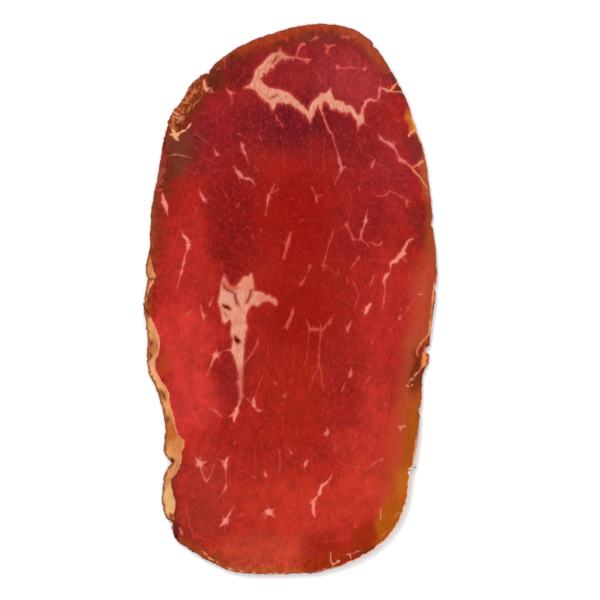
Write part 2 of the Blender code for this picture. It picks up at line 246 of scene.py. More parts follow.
# %% Strokes of the left shoulder
SHOULDER_FLECKS = [
    (0.75, (-17.6, 57.6, 0.3), (-17.2, 56.9, 0.5), (-16.3, 56.1, 0.8), (-15.2, 56.1, 0.4)),
    (0.7, (-16.2, 56.0, 0.5), (-16.0, 54.6, 0.3), (-16.4, 52.9, 0.25)),
    (0.6, (-15.9, 54.4, 0.4), (-15.6, 53.0, 0.2)),
    (0.7, (-14.6, 44.8, 0.3), (-14.0, 45.1, 0.5), (-13.5, 44.6, 0.4)),
    (0.5, (-8.5, 44.9, 0.2), (-8.2, 43.9, 0.5), (-7.9, 42.9, 0.2)),
    (0.85, (-13.4, 42.9, 0.3), (-13.1, 41.9, 0.7), (-12.8, 40.4, 0.95), (-12.2, 39.0, 0.4),
     (-11.2, 36.5, 0.3)),
    (0.8, (-20.9, 41.6, 0.2), (-20.6, 40.4, 0.5), (-20.0, 39.4, 0.8), (-19.6, 39.0, 0.3)),
    (0.85, (-15.5, 36.2, 0.3), (-14.7, 35.0, 0.8), (-13.6, 33.8, 1.1), (-12.8, 33.0, 0.9),
     (-11.4, 32.8, 0.6), (-10.3, 32.2, 0.5), (-9.7, 31.1, 0.3)),
    (0.4, (-9.9, 36.1, 0.3), (-8.6, 35.0, 0.3)),
    (0.7, (-24.9, 29.8, 0.3), (-24.2, 28.0, 0.8), (-23.7, 27.2, 0.9), (-22.6, 26.2, 0.3)),
    (0.4, (-25.2, 25.2, 0.3), (-26.1, 23.3, 0.2)),
    (0.6, (-14.1, 26.2, 0.4), (-14.4, 25.0, 0.5)),
    (0.7, (-4.4, 31.5, 0.3), (-5.3, 29.2, 0.4), (-5.9, 28.3, 1.0), (-6.5, 25.0, 0.4),
     (-6.9, 22.8, 0.25)),
    (0.6, (-5.6, 28.6, 0.5), (-3.4, 29.9, 0.25)),
    (0.35, (-11.9, 19.8, 0.3), (-10.4, 19.2, 0.3)),
    (0.35, (-8.4, 19.2, 0.3), (-8.0, 18.5, 0.4)),
    (0.35, (-10.4, 17.6, 0.4), (-9.9, 15.8, 0.2)),
    (0.35, (-9.6, 11.5, 0.3), (-9.8, 9.8, 0.3)),
    (0.85, (-29.9, 18.6, 0.3), (-29.2, 17.4, 0.7), (-28.3, 16.2, 0.9), (-27.8, 15.1, 1.2),
     (-28.0, 13.5, 0.6), (-28.7, 12.0, 0.4), (-29.2, 10.0, 0.6), (-29.6, 8.2, 0.7),
     (-30.1, 6.0, 0.45), (-31.0, 2.8, 0.3)),
    (0.6, (-29.6, 8.0, 0.5), (-30.8, 7.7, 0.2)),
    (0.9, (-34.9, 28.6, 0.5), (-34.4, 26.8, 1.1), (-34.1, 25.2, 1.2), (-33.7, 24.0, 0.6),
     (-33.5, 22.8, 0.3)),
    (0.5, (-36.6, 29.7, 0.3), (-34.8, 29.5, 0.25)),
]
print("strokes of the left shoulder", len(SHOULDER_FLECKS))

# %% Strokes of the core and the right side
RIGHT_FLECKS = [
    (0.75, (23.8, 45.0, 0.4), (24.8, 43.5, 0.9), (26.0, 42.8, 0.7), (27.3, 42.2, 1.3),
     (28.4, 41.0, 0.6), (29.4, 39.2, 0.5), (30.0, 37.9, 1.2), (31.5, 37.1, 0.6), (33.0, 35.8, 0.7),
     (34.5, 34.0, 0.5), (36.0, 32.3, 0.5), (37.2, 30.4, 0.5)),
    (0.6, (27.3, 42.4, 0.6), (28.4, 42.9, 0.4), (29.6, 42.5, 0.2)),
    (0.6, (30.0, 37.9, 0.7), (29.8, 36.5, 0.2)),
    (0.75, (33.2, 35.8, 0.5), (35.0, 36.8, 0.8), (36.4, 37.7, 0.6)),
    (0.6, (22.2, 35.8, 0.6), (22.4, 36.8, 0.9), (22.9, 38.0, 0.4)),
    (0.35, (23.0, 37.0, 0.4), (25.6, 36.3, 0.3)),
    (0.7, (32.2, 44.4, 0.6), (33.0, 45.5, 0.7), (33.9, 46.2, 0.5)),
    (0.3, (28.5, 49.0, 0.4), (30.5, 48.2, 0.3)),
    (0.55, (5.7, 30.8, 0.3), (6.9, 28.1, 0.5), (7.1, 26.8, 0.8), (7.2, 26.2, 0.3)),
    (0.5, (7.0, 27.8, 0.5), (8.6, 28.4, 0.25)),
    (0.4, (18.6, 30.4, 0.6), (18.8, 29.8, 0.5)),
    (0.6, (23.5, 28.0, 0.4), (26.3, 28.4, 0.4), (27.0, 29.5, 0.5), (28.5, 28.8, 0.4),
     (30.0, 28.0, 0.4), (31.4, 27.2, 0.4), (31.8, 26.4, 0.9), (31.5, 24.8, 0.3)),
    (0.6, (35.9, 27.7, 0.5), (36.1, 27.2, 0.4)),
    (0.75, (21.0, 24.5, 0.2), (20.7, 22.8, 0.5), (20.4, 21.0, 0.95), (20.0, 19.8, 0.4),
     (19.5, 18.6, 0.6), (19.0, 16.4, 0.4), (20.9, 15.0, 0.35), (21.2, 14.2, 0.3)),
    (0.7, (21.3, 15.3, 0.35), (22.3, 15.4, 0.4), (23.3, 14.6, 0.5), (24.5, 14.7, 0.4),
     (24.9, 15.4, 0.4)),
    (0.6, (15.6, 21.2, 0.2), (15.3, 20.2, 0.8), (16.0, 18.8, 0.35), (16.8, 17.3, 0.4),
     (17.1, 16.3, 0.7), (18.6, 16.1, 0.3)),
    (0.4, (15.3, 20.1, 0.4), (13.0, 19.0, 0.2)),
    (0.4, (15.9, 23.2, 0.3), (16.0, 21.9, 0.2)),
    (0.5, (11.8, 18.7, 0.3), (11.2, 16.8, 0.6), (10.2, 14.0, 0.3), (9.2, 10.0, 0.5),
     (9.1, 9.3, 0.9), (9.2, 7.9, 0.3)),
    (0.35, (9.5, 9.0, 0.4), (11.0, 7.8, 0.2), (12.7, 6.4, 0.2)),
    (0.7, (0.1, 18.3, 0.3), (-0.4, 16.5, 0.8), (-0.9, 14.8, 1.0), (-1.3, 13.0, 0.5),
     (-1.7, 11.2, 0.7), (-2.1, 10.9, 0.4)),
    (0.35, (3.6, 22.0, 0.3), (2.2, 20.8, 0.3)),
    (0.5, (5.5, 9.8, 0.2), (5.3, 8.8, 0.8), (4.6, 7.0, 0.2)),
    (0.6, (4.3, 6.2, 0.2), (3.5, 5.0, 0.6), (2.7, 3.8, 0.7)),
    (0.4, (13.0, 8.2, 0.3), (13.1, 6.8, 0.4)),
    (0.5, (15.4, 6.0, 0.3), (15.5, 5.0, 0.5), (15.4, 4.4, 0.2)),
    (0.6, (18.6, 11.3, 0.6), (17.8, 10.2, 0.4), (17.0, 9.2, 0.5), (16.5, 8.2, 0.3)),
    (0.6, (22.7, 6.3, 0.5), (22.3, 5.0, 0.5), (21.8, 3.2, 0.25)),
    (0.5, (17.1, 4.4, 0.6), (17.8, 3.2, 0.3), (18.3, 2.0, 0.3), (18.6, 0.8, 0.3),
     (18.2, -0.6, 0.35), (17.7, -2.1, 0.4)),
    (0.8, (33.5, 16.4, 0.5), (32.6, 16.2, 0.6), (32.0, 15.4, 0.9), (31.1, 14.0, 0.7),
     (30.6, 12.6, 1.3), (30.0, 11.6, 1.5), (28.6, 10.4, 1.1), (27.4, 9.8, 0.8), (27.2, 7.4, 0.35),
     (26.4, 6.6, 0.8), (25.7, 5.8, 1.1), (25.4, 4.9, 0.6), (25.9, 3.0, 0.35), (25.6, 1.0, 0.4),
     (25.4, -0.6, 0.5), (25.0, -3.2, 0.2)),
    (0.5, (31.2, 10.3, 0.5), (31.4, 9.7, 0.4)),
    (0.5, (32.1, 6.6, 0.3), (32.3, 5.8, 0.4)),
    (0.55, (36.0, 1.4, 0.4), (34.8, 1.2, 0.4), (33.2, -1.0, 0.35), (32.2, -2.4, 0.4),
     (31.2, -3.9, 0.3)),
    (0.6, (30.0, -4.4, 0.4), (29.7, -5.2, 0.8)),
    (0.4, (30.1, -2.5, 0.4), (30.1, -3.1, 0.3)),
    (0.8, (22.3, -0.7, 0.3), (21.8, -1.4, 0.8), (20.9, -2.7, 1.1), (20.4, -3.9, 0.8),
     (20.0, -4.6, 0.3)),
    (0.5, (20.6, -3.4, 0.5), (19.4, -3.2, 0.4)),
    (0.4, (27.0, -8.1, 0.4), (27.4, -8.7, 0.4)),
    (0.7, (16.6, -6.0, 0.3), (16.1, -7.2, 0.7), (15.6, -8.3, 0.8), (15.4, -9.4, 0.2)),
    (0.5, (15.8, -7.8, 0.4), (15.0, -7.4, 0.3)),
    (0.5, (22.2, -11.7, 0.5), (22.4, -12.3, 0.5)),
]
print("strokes of the core and the right side", len(RIGHT_FLECKS))

# %% Strokes round the heart seam
HEART_FLECKS = [
    (1.0, (-13.7, -27.6, 0.6), (-14.2, -29.0, 0.6), (-14.7, -30.0, 0.9), (-15.0, -31.2, 1.3),
     (-15.3, -32.4, 0.9), (-15.5, -33.7, 0.3)),
    (0.9, (-15.0, -31.4, 0.8), (-16.4, -31.9, 0.5), (-17.0, -32.1, 0.2)),
    (0.75, (-16.0, -13.9, 0.6), (-17.5, -14.0, 0.4), (-18.8, -14.4, 0.4), (-19.6, -15.1, 0.7),
     (-20.4, -15.3, 1.3), (-21.0, -16.5, 0.7), (-22.0, -19.0, 0.45), (-22.9, -21.2, 0.3)),
    (0.95, (-20.4, -15.3, 0.9), (-21.8, -15.2, 0.15)),
    (0.95, (-20.3, -15.2, 0.9), (-20.2, -13.8, 0.15)),
    (0.95, (-20.4, -15.3, 0.9), (-19.2, -16.1, 0.15)),
    (0.6, (-8.8, -10.6, 0.4), (-9.0, -12.0, 0.55), (-9.9, -13.8, 0.4), (-11.5, -16.3, 0.4),
     (-12.6, -17.6, 0.4)),
    (0.7, (-10.0, -26.8, 0.5), (-10.1, -27.6, 0.9), (-10.0, -28.8, 1.0), (-9.5, -29.8, 0.7),
     (-8.8, -30.3, 0.9), (-8.2, -30.8, 0.5), (-7.5, -30.0, 0.2)),
    (0.5, (-12.2, -27.2, 0.4), (-11.0, -28.1, 0.5), (-10.2, -28.6, 0.6)),
    (0.35, (-9.9, -27.0, 0.4), (-9.3, -25.5, 0.3), (-8.7, -23.5, 0.3), (-7.5, -20.8, 0.35)),
    (0.5, (-4.2, -22.7, 0.6), (-3.8, -23.2, 0.5)),
    (0.5, (-1.9, -26.8, 0.5), (-1.3, -26.2, 0.7)),
    (0.4, (-1.8, -28.4, 0.4), (-1.8, -28.9, 0.4)),
    (0.3, (0.2, -21.9, 0.4), (-0.2, -22.7, 0.4)),
    (0.65, (0.9, -2.2, 0.3), (0.5, -3.6, 0.8), (0.1, -5.2, 0.7), (-0.5, -6.6, 0.6),
     (-1.0, -7.4, 1.0), (-2.0, -7.9, 0.3)),
    (0.65, (4.3, -5.2, 0.15), (4.8, -6.8, 0.35), (5.1, -8.1, 0.8), (6.2, -8.3, 0.6),
     (7.4, -8.3, 0.9), (8.3, -8.7, 0.9), (9.1, -8.0, 0.6), (9.7, -7.1, 0.4), (10.6, -6.5, 0.7),
     (11.2, -5.2, 0.4), (12.0, -3.9, 0.15)),
    (0.6, (6.2, -8.2, 0.5), (6.3, -7.2, 0.15)),
    (0.6, (8.2, -8.5, 0.6), (8.2, -6.9, 0.25)),
    (0.5, (8.3, -8.9, 0.7), (8.1, -11.0, 0.4), (7.9, -13.0, 0.35), (7.7, -16.8, 0.5),
     (7.8, -18.0, 0.6), (7.2, -19.4, 0.4), (6.3, -21.0, 0.35), (5.0, -25.2, 0.25)),
    (0.5, (7.9, -18.2, 0.5), (8.4, -20.0, 0.35), (8.5, -22.5, 0.35), (9.1, -25.0, 0.25)),
    (0.4, (5.1, -8.8, 0.4), (4.8, -12.0, 0.3), (4.6, -15.0, 0.3), (3.9, -18.4, 0.25)),
    (0.7, (-21.0, 0.8, 0.2), (-21.5, -0.4, 0.4), (-22.1, -1.8, 0.6), (-22.3, -2.3, 0.3)),
    (0.65, (-24.6, -1.7, 0.4), (-24.2, -3.2, 0.5), (-23.8, -4.4, 0.9), (-23.7, -6.5, 0.3)),
    (0.5, (-26.6, -2.8, 0.4), (-27.8, -3.8, 0.7), (-29.0, -4.5, 0.3), (-30.7, -5.1, 0.2)),
    (0.5, (-24.5, -13.8, 0.5), (-23.9, -14.2, 0.5)),
    (0.5, (-26.6, -30.2, 0.3), (-26.4, -31.0, 0.5)),
    (0.65, (-22.0, -29.9, 0.3), (-20.5, -30.4, 0.6), (-19.6, -31.2, 0.6), (-18.8, -32.2, 0.4)),
]
print("strokes round the heart seam", len(HEART_FLECKS))

# %% Strokes of the foot
FOOT_FLECKS = [
    (0.6, (16.6, -18.6, 0.2), (16.4, -19.8, 0.7), (16.2, -20.7, 1.0), (16.0, -21.4, 0.6)),
    (0.5, (21.8, -20.9, 0.4), (21.4, -21.6, 0.6), (20.6, -23.2, 0.3), (20.0, -24.9, 0.5)),
    (0.5, (14.9, -22.9, 0.3), (14.5, -24.0, 0.6), (13.9, -25.4, 0.4)),
    (0.5, (25.6, -28.4, 0.4), (26.0, -29.1, 0.5)),
    (0.4, (23.2, -30.3, 0.3), (23.4, -30.8, 0.4)),
    (0.4, (9.4, -27.4, 0.4), (9.6, -28.1, 0.3)),
    (0.65, (9.9, -35.0, 0.3), (10.1, -36.1, 0.8), (9.7, -36.8, 1.0), (9.3, -37.3, 0.3)),
    (0.4, (-15.4, -37.9, 0.3), (-15.3, -39.4, 0.5)),
    (0.4, (-22.6, -37.8, 0.4), (-22.4, -38.3, 0.3)),
    (0.75, (-26.2, -43.0, 0.3), (-25.3, -44.0, 0.8), (-24.7, -45.0, 1.9), (-24.4, -46.4, 0.6),
     (-23.9, -48.0, 0.4), (-22.9, -49.9, 0.6), (-21.8, -48.2, 0.4), (-21.0, -46.0, 0.35),
     (-20.5, -44.8, 0.35)),
    (0.7, (-24.9, -45.0, 0.9), (-26.0, -45.6, 0.3)),
    (0.7, (-24.4, -44.8, 0.9), (-22.6, -44.2, 0.3)),
    (0.4, (-20.9, -40.4, 0.3), (-20.6, -41.3, 0.5)),
    (0.75, (-16.8, -42.7, 0.3), (-17.2, -43.8, 0.8), (-17.8, -45.0, 1.3), (-17.6, -47.0, 0.3),
     (-17.5, -49.6, 0.35), (-17.6, -51.3, 0.7), (-18.4, -52.7, 0.35), (-19.4, -54.2, 0.25)),
    (0.65, (-17.8, -44.6, 0.9), (-19.9, -43.7, 0.3)),
    (0.5, (-10.1, -48.2, 0.4), (-9.8, -48.8, 0.5)),
    (0.65, (-7.1, -46.8, 0.3), (-6.9, -47.7, 0.9), (-6.7, -48.3, 0.7)),
    (0.45, (-3.2, -40.8, 0.3), (-2.9, -42.8, 0.4), (-2.8, -44.5, 0.5), (-3.0, -47.2, 0.35)),
    (0.4, (-6.2, -50.7, 0.4), (-5.8, -51.3, 0.4)),
    (0.4, (-1.0, -49.3, 0.3), (-1.6, -50.4, 0.5), (-2.3, -51.5, 0.4)),
    (0.8, (-15.2, -56.0, 0.2), (-16.2, -58.0, 0.5), (-17.0, -59.4, 0.9), (-17.8, -60.6, 1.5),
     (-18.6, -61.4, 0.8), (-19.4, -61.9, 0.3)),
    (0.5, (-12.8, -58.2, 0.4), (-13.4, -58.9, 0.5), (-14.3, -59.4, 0.3)),
    (0.8, (-6.0, -56.5, 0.2), (-5.9, -57.5, 1.0), (-5.9, -58.1, 1.7), (-5.0, -58.9, 0.6),
     (-4.2, -59.7, 0.3)),
    (0.7, (-6.1, -58.0, 1.0), (-7.1, -58.7, 0.3)),
    (0.35, (-28.7, -56.0, 0.3), (-28.0, -59.0, 0.4), (-27.3, -62.0, 0.4), (-26.4, -63.8, 0.5),
     (-25.2, -64.6, 0.4), (-23.4, -65.4, 0.3), (-21.2, -66.2, 0.2)),
    (0.35, (-17.4, -66.9, 0.4), (-16.6, -67.2, 0.3)),
    (0.7, (-29.9, -62.8, 0.5), (-29.5, -63.9, 0.6)),
    (0.6, (-0.2, -41.5, 0.5), (0.3, -42.0, 0.7)),
    (0.7, (4.8, -43.9, 0.3), (4.2, -44.6, 0.8), (3.8, -45.3, 0.9), (3.9, -46.7, 0.3)),
    (0.5, (3.9, -45.2, 0.6), (2.9, -44.9, 0.3)),
    (0.85, (11.4, -47.0, 0.3), (10.9, -48.8, 0.5), (9.8, -50.0, 0.6), (8.3, -51.4, 1.0),
     (7.8, -53.0, 1.0), (7.0, -54.4, 0.6), (6.3, -55.5, 1.3), (6.2, -57.0, 0.8), (6.3, -58.3, 0.9),
     (6.9, -59.7, 0.2)),
    (0.4, (11.9, -38.8, 0.3), (12.6, -41.3, 0.4)),
    (0.35, (17.8, -39.2, 0.3), (17.1, -41.2, 0.3)),
    (0.55, (21.7, -45.4, 0.4), (22.3, -45.1, 0.8), (23.6, -44.3, 0.35), (24.8, -43.8, 0.7),
     (25.4, -43.2, 0.3)),
    (0.3, (12.3, -56.3, 0.3), (14.3, -57.8, 0.3), (15.7, -56.6, 0.3)),
    (0.4, (17.5, -61.2, 0.4), (17.9, -61.5, 0.4)),
    (0.55, (10.8, -68.8, 0.3), (11.0, -71.0, 0.5), (11.5, -72.7, 0.4)),
    (0.6, (11.6, -72.4, 0.4), (13.1, -71.4, 0.7)),
    (0.5, (15.3, -69.6, 0.3), (17.4, -69.0, 0.3), (19.5, -68.2, 0.3)),
    (0.5, (16.2, -69.3, 0.5), (16.5, -70.9, 0.4)),
    (0.5, (30.0, -58.0, 0.4), (28.8, -58.5, 0.3), (27.6, -60.2, 0.2)),
    (0.5, (27.1, -63.4, 0.3), (26.0, -63.0, 0.3), (24.9, -64.7, 0.3)),
]
print("strokes of the foot", len(FOOT_FLECKS))

# %% Strokes along the rim
RIM_FLECKS = [
    (0.5, (-31.9, 50.9, 0.6), (-30.8, 50.3, 0.8), (-30.0, 49.9, 0.3)),
    (0.45, (-29.4, 49.2, 0.4), (-30.9, 48.1, 0.4)),
    (0.85, (-32.4, 46.6, 0.4), (-31.9, 45.2, 0.9), (-31.4, 44.4, 0.9), (-30.7, 43.3, 0.4)),
    (0.8, (-31.4, 44.6, 0.9), (-32.7, 44.9, 0.7)),
    (0.85, (-31.2, 44.4, 0.9), (-30.3, 45.2, 0.7), (-28.5, 46.0, 0.5), (-27.0, 47.8, 0.3)),
    (0.85, (-23.7, 59.6, 0.5), (-23.3, 57.8, 0.9), (-22.9, 57.1, 1.0), (-22.3, 57.5, 0.5)),
    (0.6, (-21.6, 57.0, 0.5), (-21.2, 56.5, 0.6)),
    (0.5, (-23.9, 55.6, 0.5), (-25.2, 54.0, 0.4), (-26.9, 52.3, 0.3)),
    (0.5, (-18.4, 65.2, 0.5), (-18.0, 64.6, 0.3)),
    (0.5, (-19.0, 62.9, 0.4), (-20.3, 62.4, 0.3)),
    (0.9, (39.3, 4.6, 0.5), (39.1, 3.2, 0.4), (38.8, 0.5, 0.6), (38.6, -3.0, 0.75),
     (38.2, -7.0, 0.75), (37.7, -9.4, 0.6), (36.9, -10.7, 0.5)),
    (0.9, (36.7, -10.7, 0.4), (35.7, -11.9, 0.55), (34.9, -13.2, 0.5), (34.4, -14.6, 0.35),
     (34.7, -15.6, 0.3)),
    (0.9, (36.9, -13.4, 0.5), (36.6, -14.6, 0.8), (36.6, -16.2, 1.5), (36.1, -17.8, 1.2),
     (35.4, -19.0, 0.5), (34.6, -20.2, 0.4)),
    (0.8, (34.6, -20.2, 0.4), (34.0, -20.9, 0.6), (33.6, -21.2, 0.3)),
    (0.8, (33.6, -21.6, 0.45), (33.3, -22.2, 0.4)),
    (0.8, (32.9, -21.8, 0.5), (32.4, -22.3, 0.4), (32.2, -22.9, 0.35)),
    (0.7, (32.4, -23.9, 0.4), (31.8, -23.6, 0.35)),
    (0.6, (33.3, -23.4, 0.35), (32.9, -23.8, 0.25)),
    (0.5, (34.3, -37.5, 0.4), (33.8, -41.0, 0.5), (33.1, -45.2, 0.4)),
    (0.6, (24.6, -57.0, 0.3), (24.6, -57.9, 0.7), (24.4, -59.6, 0.4), (24.5, -60.4, 0.2)),
    (0.6, (29.3, -34.5, 0.4), (29.9, -35.0, 0.9), (31.0, -34.4, 0.5), (31.4, -35.2, 0.3)),
    (0.8, (-0.9, 73.2, 0.2), (-0.8, 72.2, 0.35)),
    (0.8, (4.5, 74.9, 0.3), (4.6, 73.9, 0.2)),
    (0.6, (-9.4, 70.6, 0.2), (-9.0, 69.6, 0.3)),
    (0.8, (18.3, 72.0, 0.3), (17.6, 71.3, 0.4)),
    (0.7, (24.6, 67.0, 0.4), (23.8, 66.6, 0.3)),
    (0.7, (27.2, 62.2, 0.4), (26.2, 61.7, 0.3)),
    (0.6, (-33.9, 38.9, 0.2), (-31.5, 39.4, 0.3), (-28.9, 39.0, 0.3), (-26.6, 38.3, 0.2)),
    (0.6, (-36.9, 29.3, 0.3), (-35.0, 29.9, 0.35)),
    (0.6, (-29.0, 59.2, 0.3), (-27.4, 57.4, 0.4), (-27.0, 56.0, 0.3)),
    (0.45, (-32.2, 49.9, 0.4), (-30.4, 49.2, 0.4), (-29.3, 49.8, 0.3)),
    (0.7, (-18.3, 66.2, 0.4), (-17.8, 65.0, 0.3), (-17.9, 62.5, 0.15)),
]
FOOT_RIM_FLECKS = [
    (0.8, (-30.3, -62.4, 0.4), (-29.9, -63.4, 0.5)),
    (0.7, (-24.2, -68.6, 0.3), (-23.2, -69.4, 0.5), (-22.4, -69.7, 0.3)),
    (0.9, (-22.6, -70.1, 0.35), (-21.6, -70.8, 0.55), (-20.8, -71.2, 0.3)),
    (0.8, (-20.2, -71.5, 0.3), (-19.4, -71.9, 0.45)),
    (0.8, (-17.2, -73.0, 0.3), (-16.2, -73.5, 0.5), (-15.2, -73.8, 0.3)),
    (0.7, (-13.6, -74.0, 0.4), (-12.6, -74.2, 0.4)),
    (0.8, (-10.2, -74.5, 0.5), (-9.4, -74.6, 0.5)),
    (0.8, (-6.2, -74.7, 0.4), (-4.6, -74.8, 0.6), (-3.8, -74.5, 0.3)),
    (0.8, (-2.2, -74.8, 0.5), (-1.2, -74.6, 0.4)),
    (0.7, (2.6, -74.6, 0.4), (3.6, -74.4, 0.4)),
    (0.8, (7.6, -74.2, 0.4), (8.8, -73.8, 0.5), (9.6, -73.2, 0.3)),
]
print("strokes along the rim", len(RIM_FLECKS) + len(FOOT_RIM_FLECKS))

# %% Threads as thin as a hair
THREADS = [
    (0.45, (11.7, -39.0, 0.2), (12.4, -40.7, 0.5), (12.0, -42.0, 0.2)),
    (0.35, (13.4, -39.2, 0.2), (12.4, -40.7, 0.4)),
    (0.4, (12.7, -44.2, 0.3), (14.5, -45.2, 0.35), (17.9, -45.9, 0.35), (20.7, -46.3, 0.4),
     (22.2, -45.4, 0.3)),
    (0.35, (17.6, -38.9, 0.2), (17.2, -40.4, 0.4), (16.6, -41.6, 0.2)),
    (0.3, (19.0, -51.0, 0.2), (20.6, -52.6, 0.3), (22.6, -52.9, 0.3), (24.4, -51.4, 0.2)),
    (0.3, (20.4, -53.8, 0.3), (22.0, -54.3, 0.2)),
    (0.35, (17.5, -58.8, 0.2), (17.5, -61.3, 0.5), (17.8, -62.2, 0.3)),
    (0.3, (9.6, -65.9, 0.3), (12.0, -65.8, 0.3), (14.2, -65.3, 0.3), (16.2, -64.4, 0.2)),
    (0.3, (-26.2, 45.3, 0.15), (-24.4, 43.9, 0.25), (-22.6, 42.9, 0.15)),
    (0.3, (-24.9, 39.4, 0.15), (-22.4, 37.9, 0.2), (-19.9, 36.9, 0.15)),
    (0.3, (-30.5, 36.0, 0.15), (-27.8, 34.9, 0.2), (-24.9, 34.6, 0.15)),
    (0.3, (-5.2, -9.2, 0.15), (-6.1, -13.0, 0.2), (-6.0, -17.0, 0.15)),
    (0.3, (11.4, -22.0, 0.15), (12.3, -26.0, 0.2), (12.1, -30.0, 0.15)),
    (0.3, (0.8, -12.0, 0.15), (1.1, -16.5, 0.2), (0.4, -20.0, 0.15)),
    (0.3, (-2.0, 40.8, 0.15), (-1.6, 36.4, 0.2), (-2.2, 33.0, 0.15)),
    (0.3, (5.4, 44.2, 0.15), (5.2, 39.5, 0.2), (5.6, 36.0, 0.15)),
    (0.3, (17.6, 46.3, 0.15), (18.6, 42.2, 0.25), (19.6, 39.0, 0.15)),
    (0.3, (15.4, 31.0, 0.15), (16.6, 27.2, 0.2), (16.4, 24.0, 0.15)),
    (0.3, (-19.2, 30.6, 0.15), (-17.6, 28.6, 0.25), (-16.8, 26.0, 0.15)),
    (0.3, (-28.2, -8.0, 0.15), (-30.4, -10.4, 0.25), (-32.6, -11.2, 0.15)),
    (0.3, (-35.0, -17.6, 0.15), (-31.4, -16.4, 0.25), (-28.6, -15.4, 0.15)),
    (0.3, (-31.8, 1.2, 0.15), (-28.8, 2.6, 0.25), (-26.8, 1.6, 0.15)),
    (0.3, (-15.6, -45.8, 0.15), (-12.6, -47.0, 0.25), (-10.4, -48.4, 0.15)),
    (0.3, (-9.4, -39.6, 0.15), (-10.0, -43.8, 0.2), (-9.4, -47.6, 0.15)),
    (0.3, (2.2, -50.2, 0.15), (3.4, -54.2, 0.25), (3.2, -58.0, 0.15)),
    (0.3, (-11.8, -62.0, 0.15), (-8.4, -63.4, 0.25), (-4.8, -63.0, 0.15)),
]
DRAWN_STROKES = (
    CROWN_FLECKS + SHOULDER_FLECKS + RIGHT_FLECKS + HEART_FLECKS + FOOT_FLECKS
    + RIM_FLECKS + FOOT_RIM_FLECKS + THREADS
)
print("strokes of fat drawn by hand", len(DRAWN_STROKES))

# %% [markdown]
# Up close no fleck is a plain wedge. It is a small star with three or five fine spikes where it
# squeezed in between bundles of fibre, and the lower edge of the crown seam frays into short drips.
# Both are too many to draw, so they are grown from the strokes with a fixed seed.

# %% Spikes and drips
SEED = 4
SPIKED_WIDTH = 0.6
STARRED_WIDTH = 0.9
DRIP_SPACING = 0.42


def with_spikes(strokes, chance):
    """The strokes, and three or five fine spikes from the widest point of each broad one."""
    grown = list(strokes)
    for pale, *points in strokes:
        x, y, width = max(points, key=lambda point: point[2])
        if width < SPIKED_WIDTH:
            continue
        count = 3 if width < STARRED_WIDTH else 5
        turn = chance.uniform(0.0, 2.0 * math.pi)
        for spike in range(count):
            angle = turn + (spike + chance.uniform(-0.3, 0.3)) * 2.0 * math.pi / count
            reach = width * chance.uniform(0.8, 1.7)
            tip = (x + reach * math.cos(angle), y + reach * math.sin(angle) * 1.2, 0.06)
            grown.append((pale, (x, y, 0.45 * width), tip))
    return grown


def drips(outline, chance):
    """Short strokes that hang from the parts of the outline that face downwards."""
    grown = []
    for (ax, ay), (bx, by) in zip(outline, outline[1:] + outline[:1]):
        length = math.hypot(bx - ax, by - ay)
        if bx > ax or abs(by - ay) > 2.2 * abs(bx - ax):
            continue
        for count in range(int(length / DRIP_SPACING)):
            share = (count + chance.random()) * DRIP_SPACING / length
            x, y = ax + (bx - ax) * share, ay + (by - ay) * share
            fall = chance.uniform(0.35, 1.25)
            lean = chance.uniform(-0.3, 0.15)
            grown.append((1.0, (x, y + 0.3, 0.42), (x + lean * fall, y - fall, 0.07)))
    return grown


chance = random.Random(SEED)
STROKES = with_spikes(DRAWN_STROKES, chance) + drips(CROWN_SEAM, chance)
print("strokes with spikes and drips", len(STROKES))
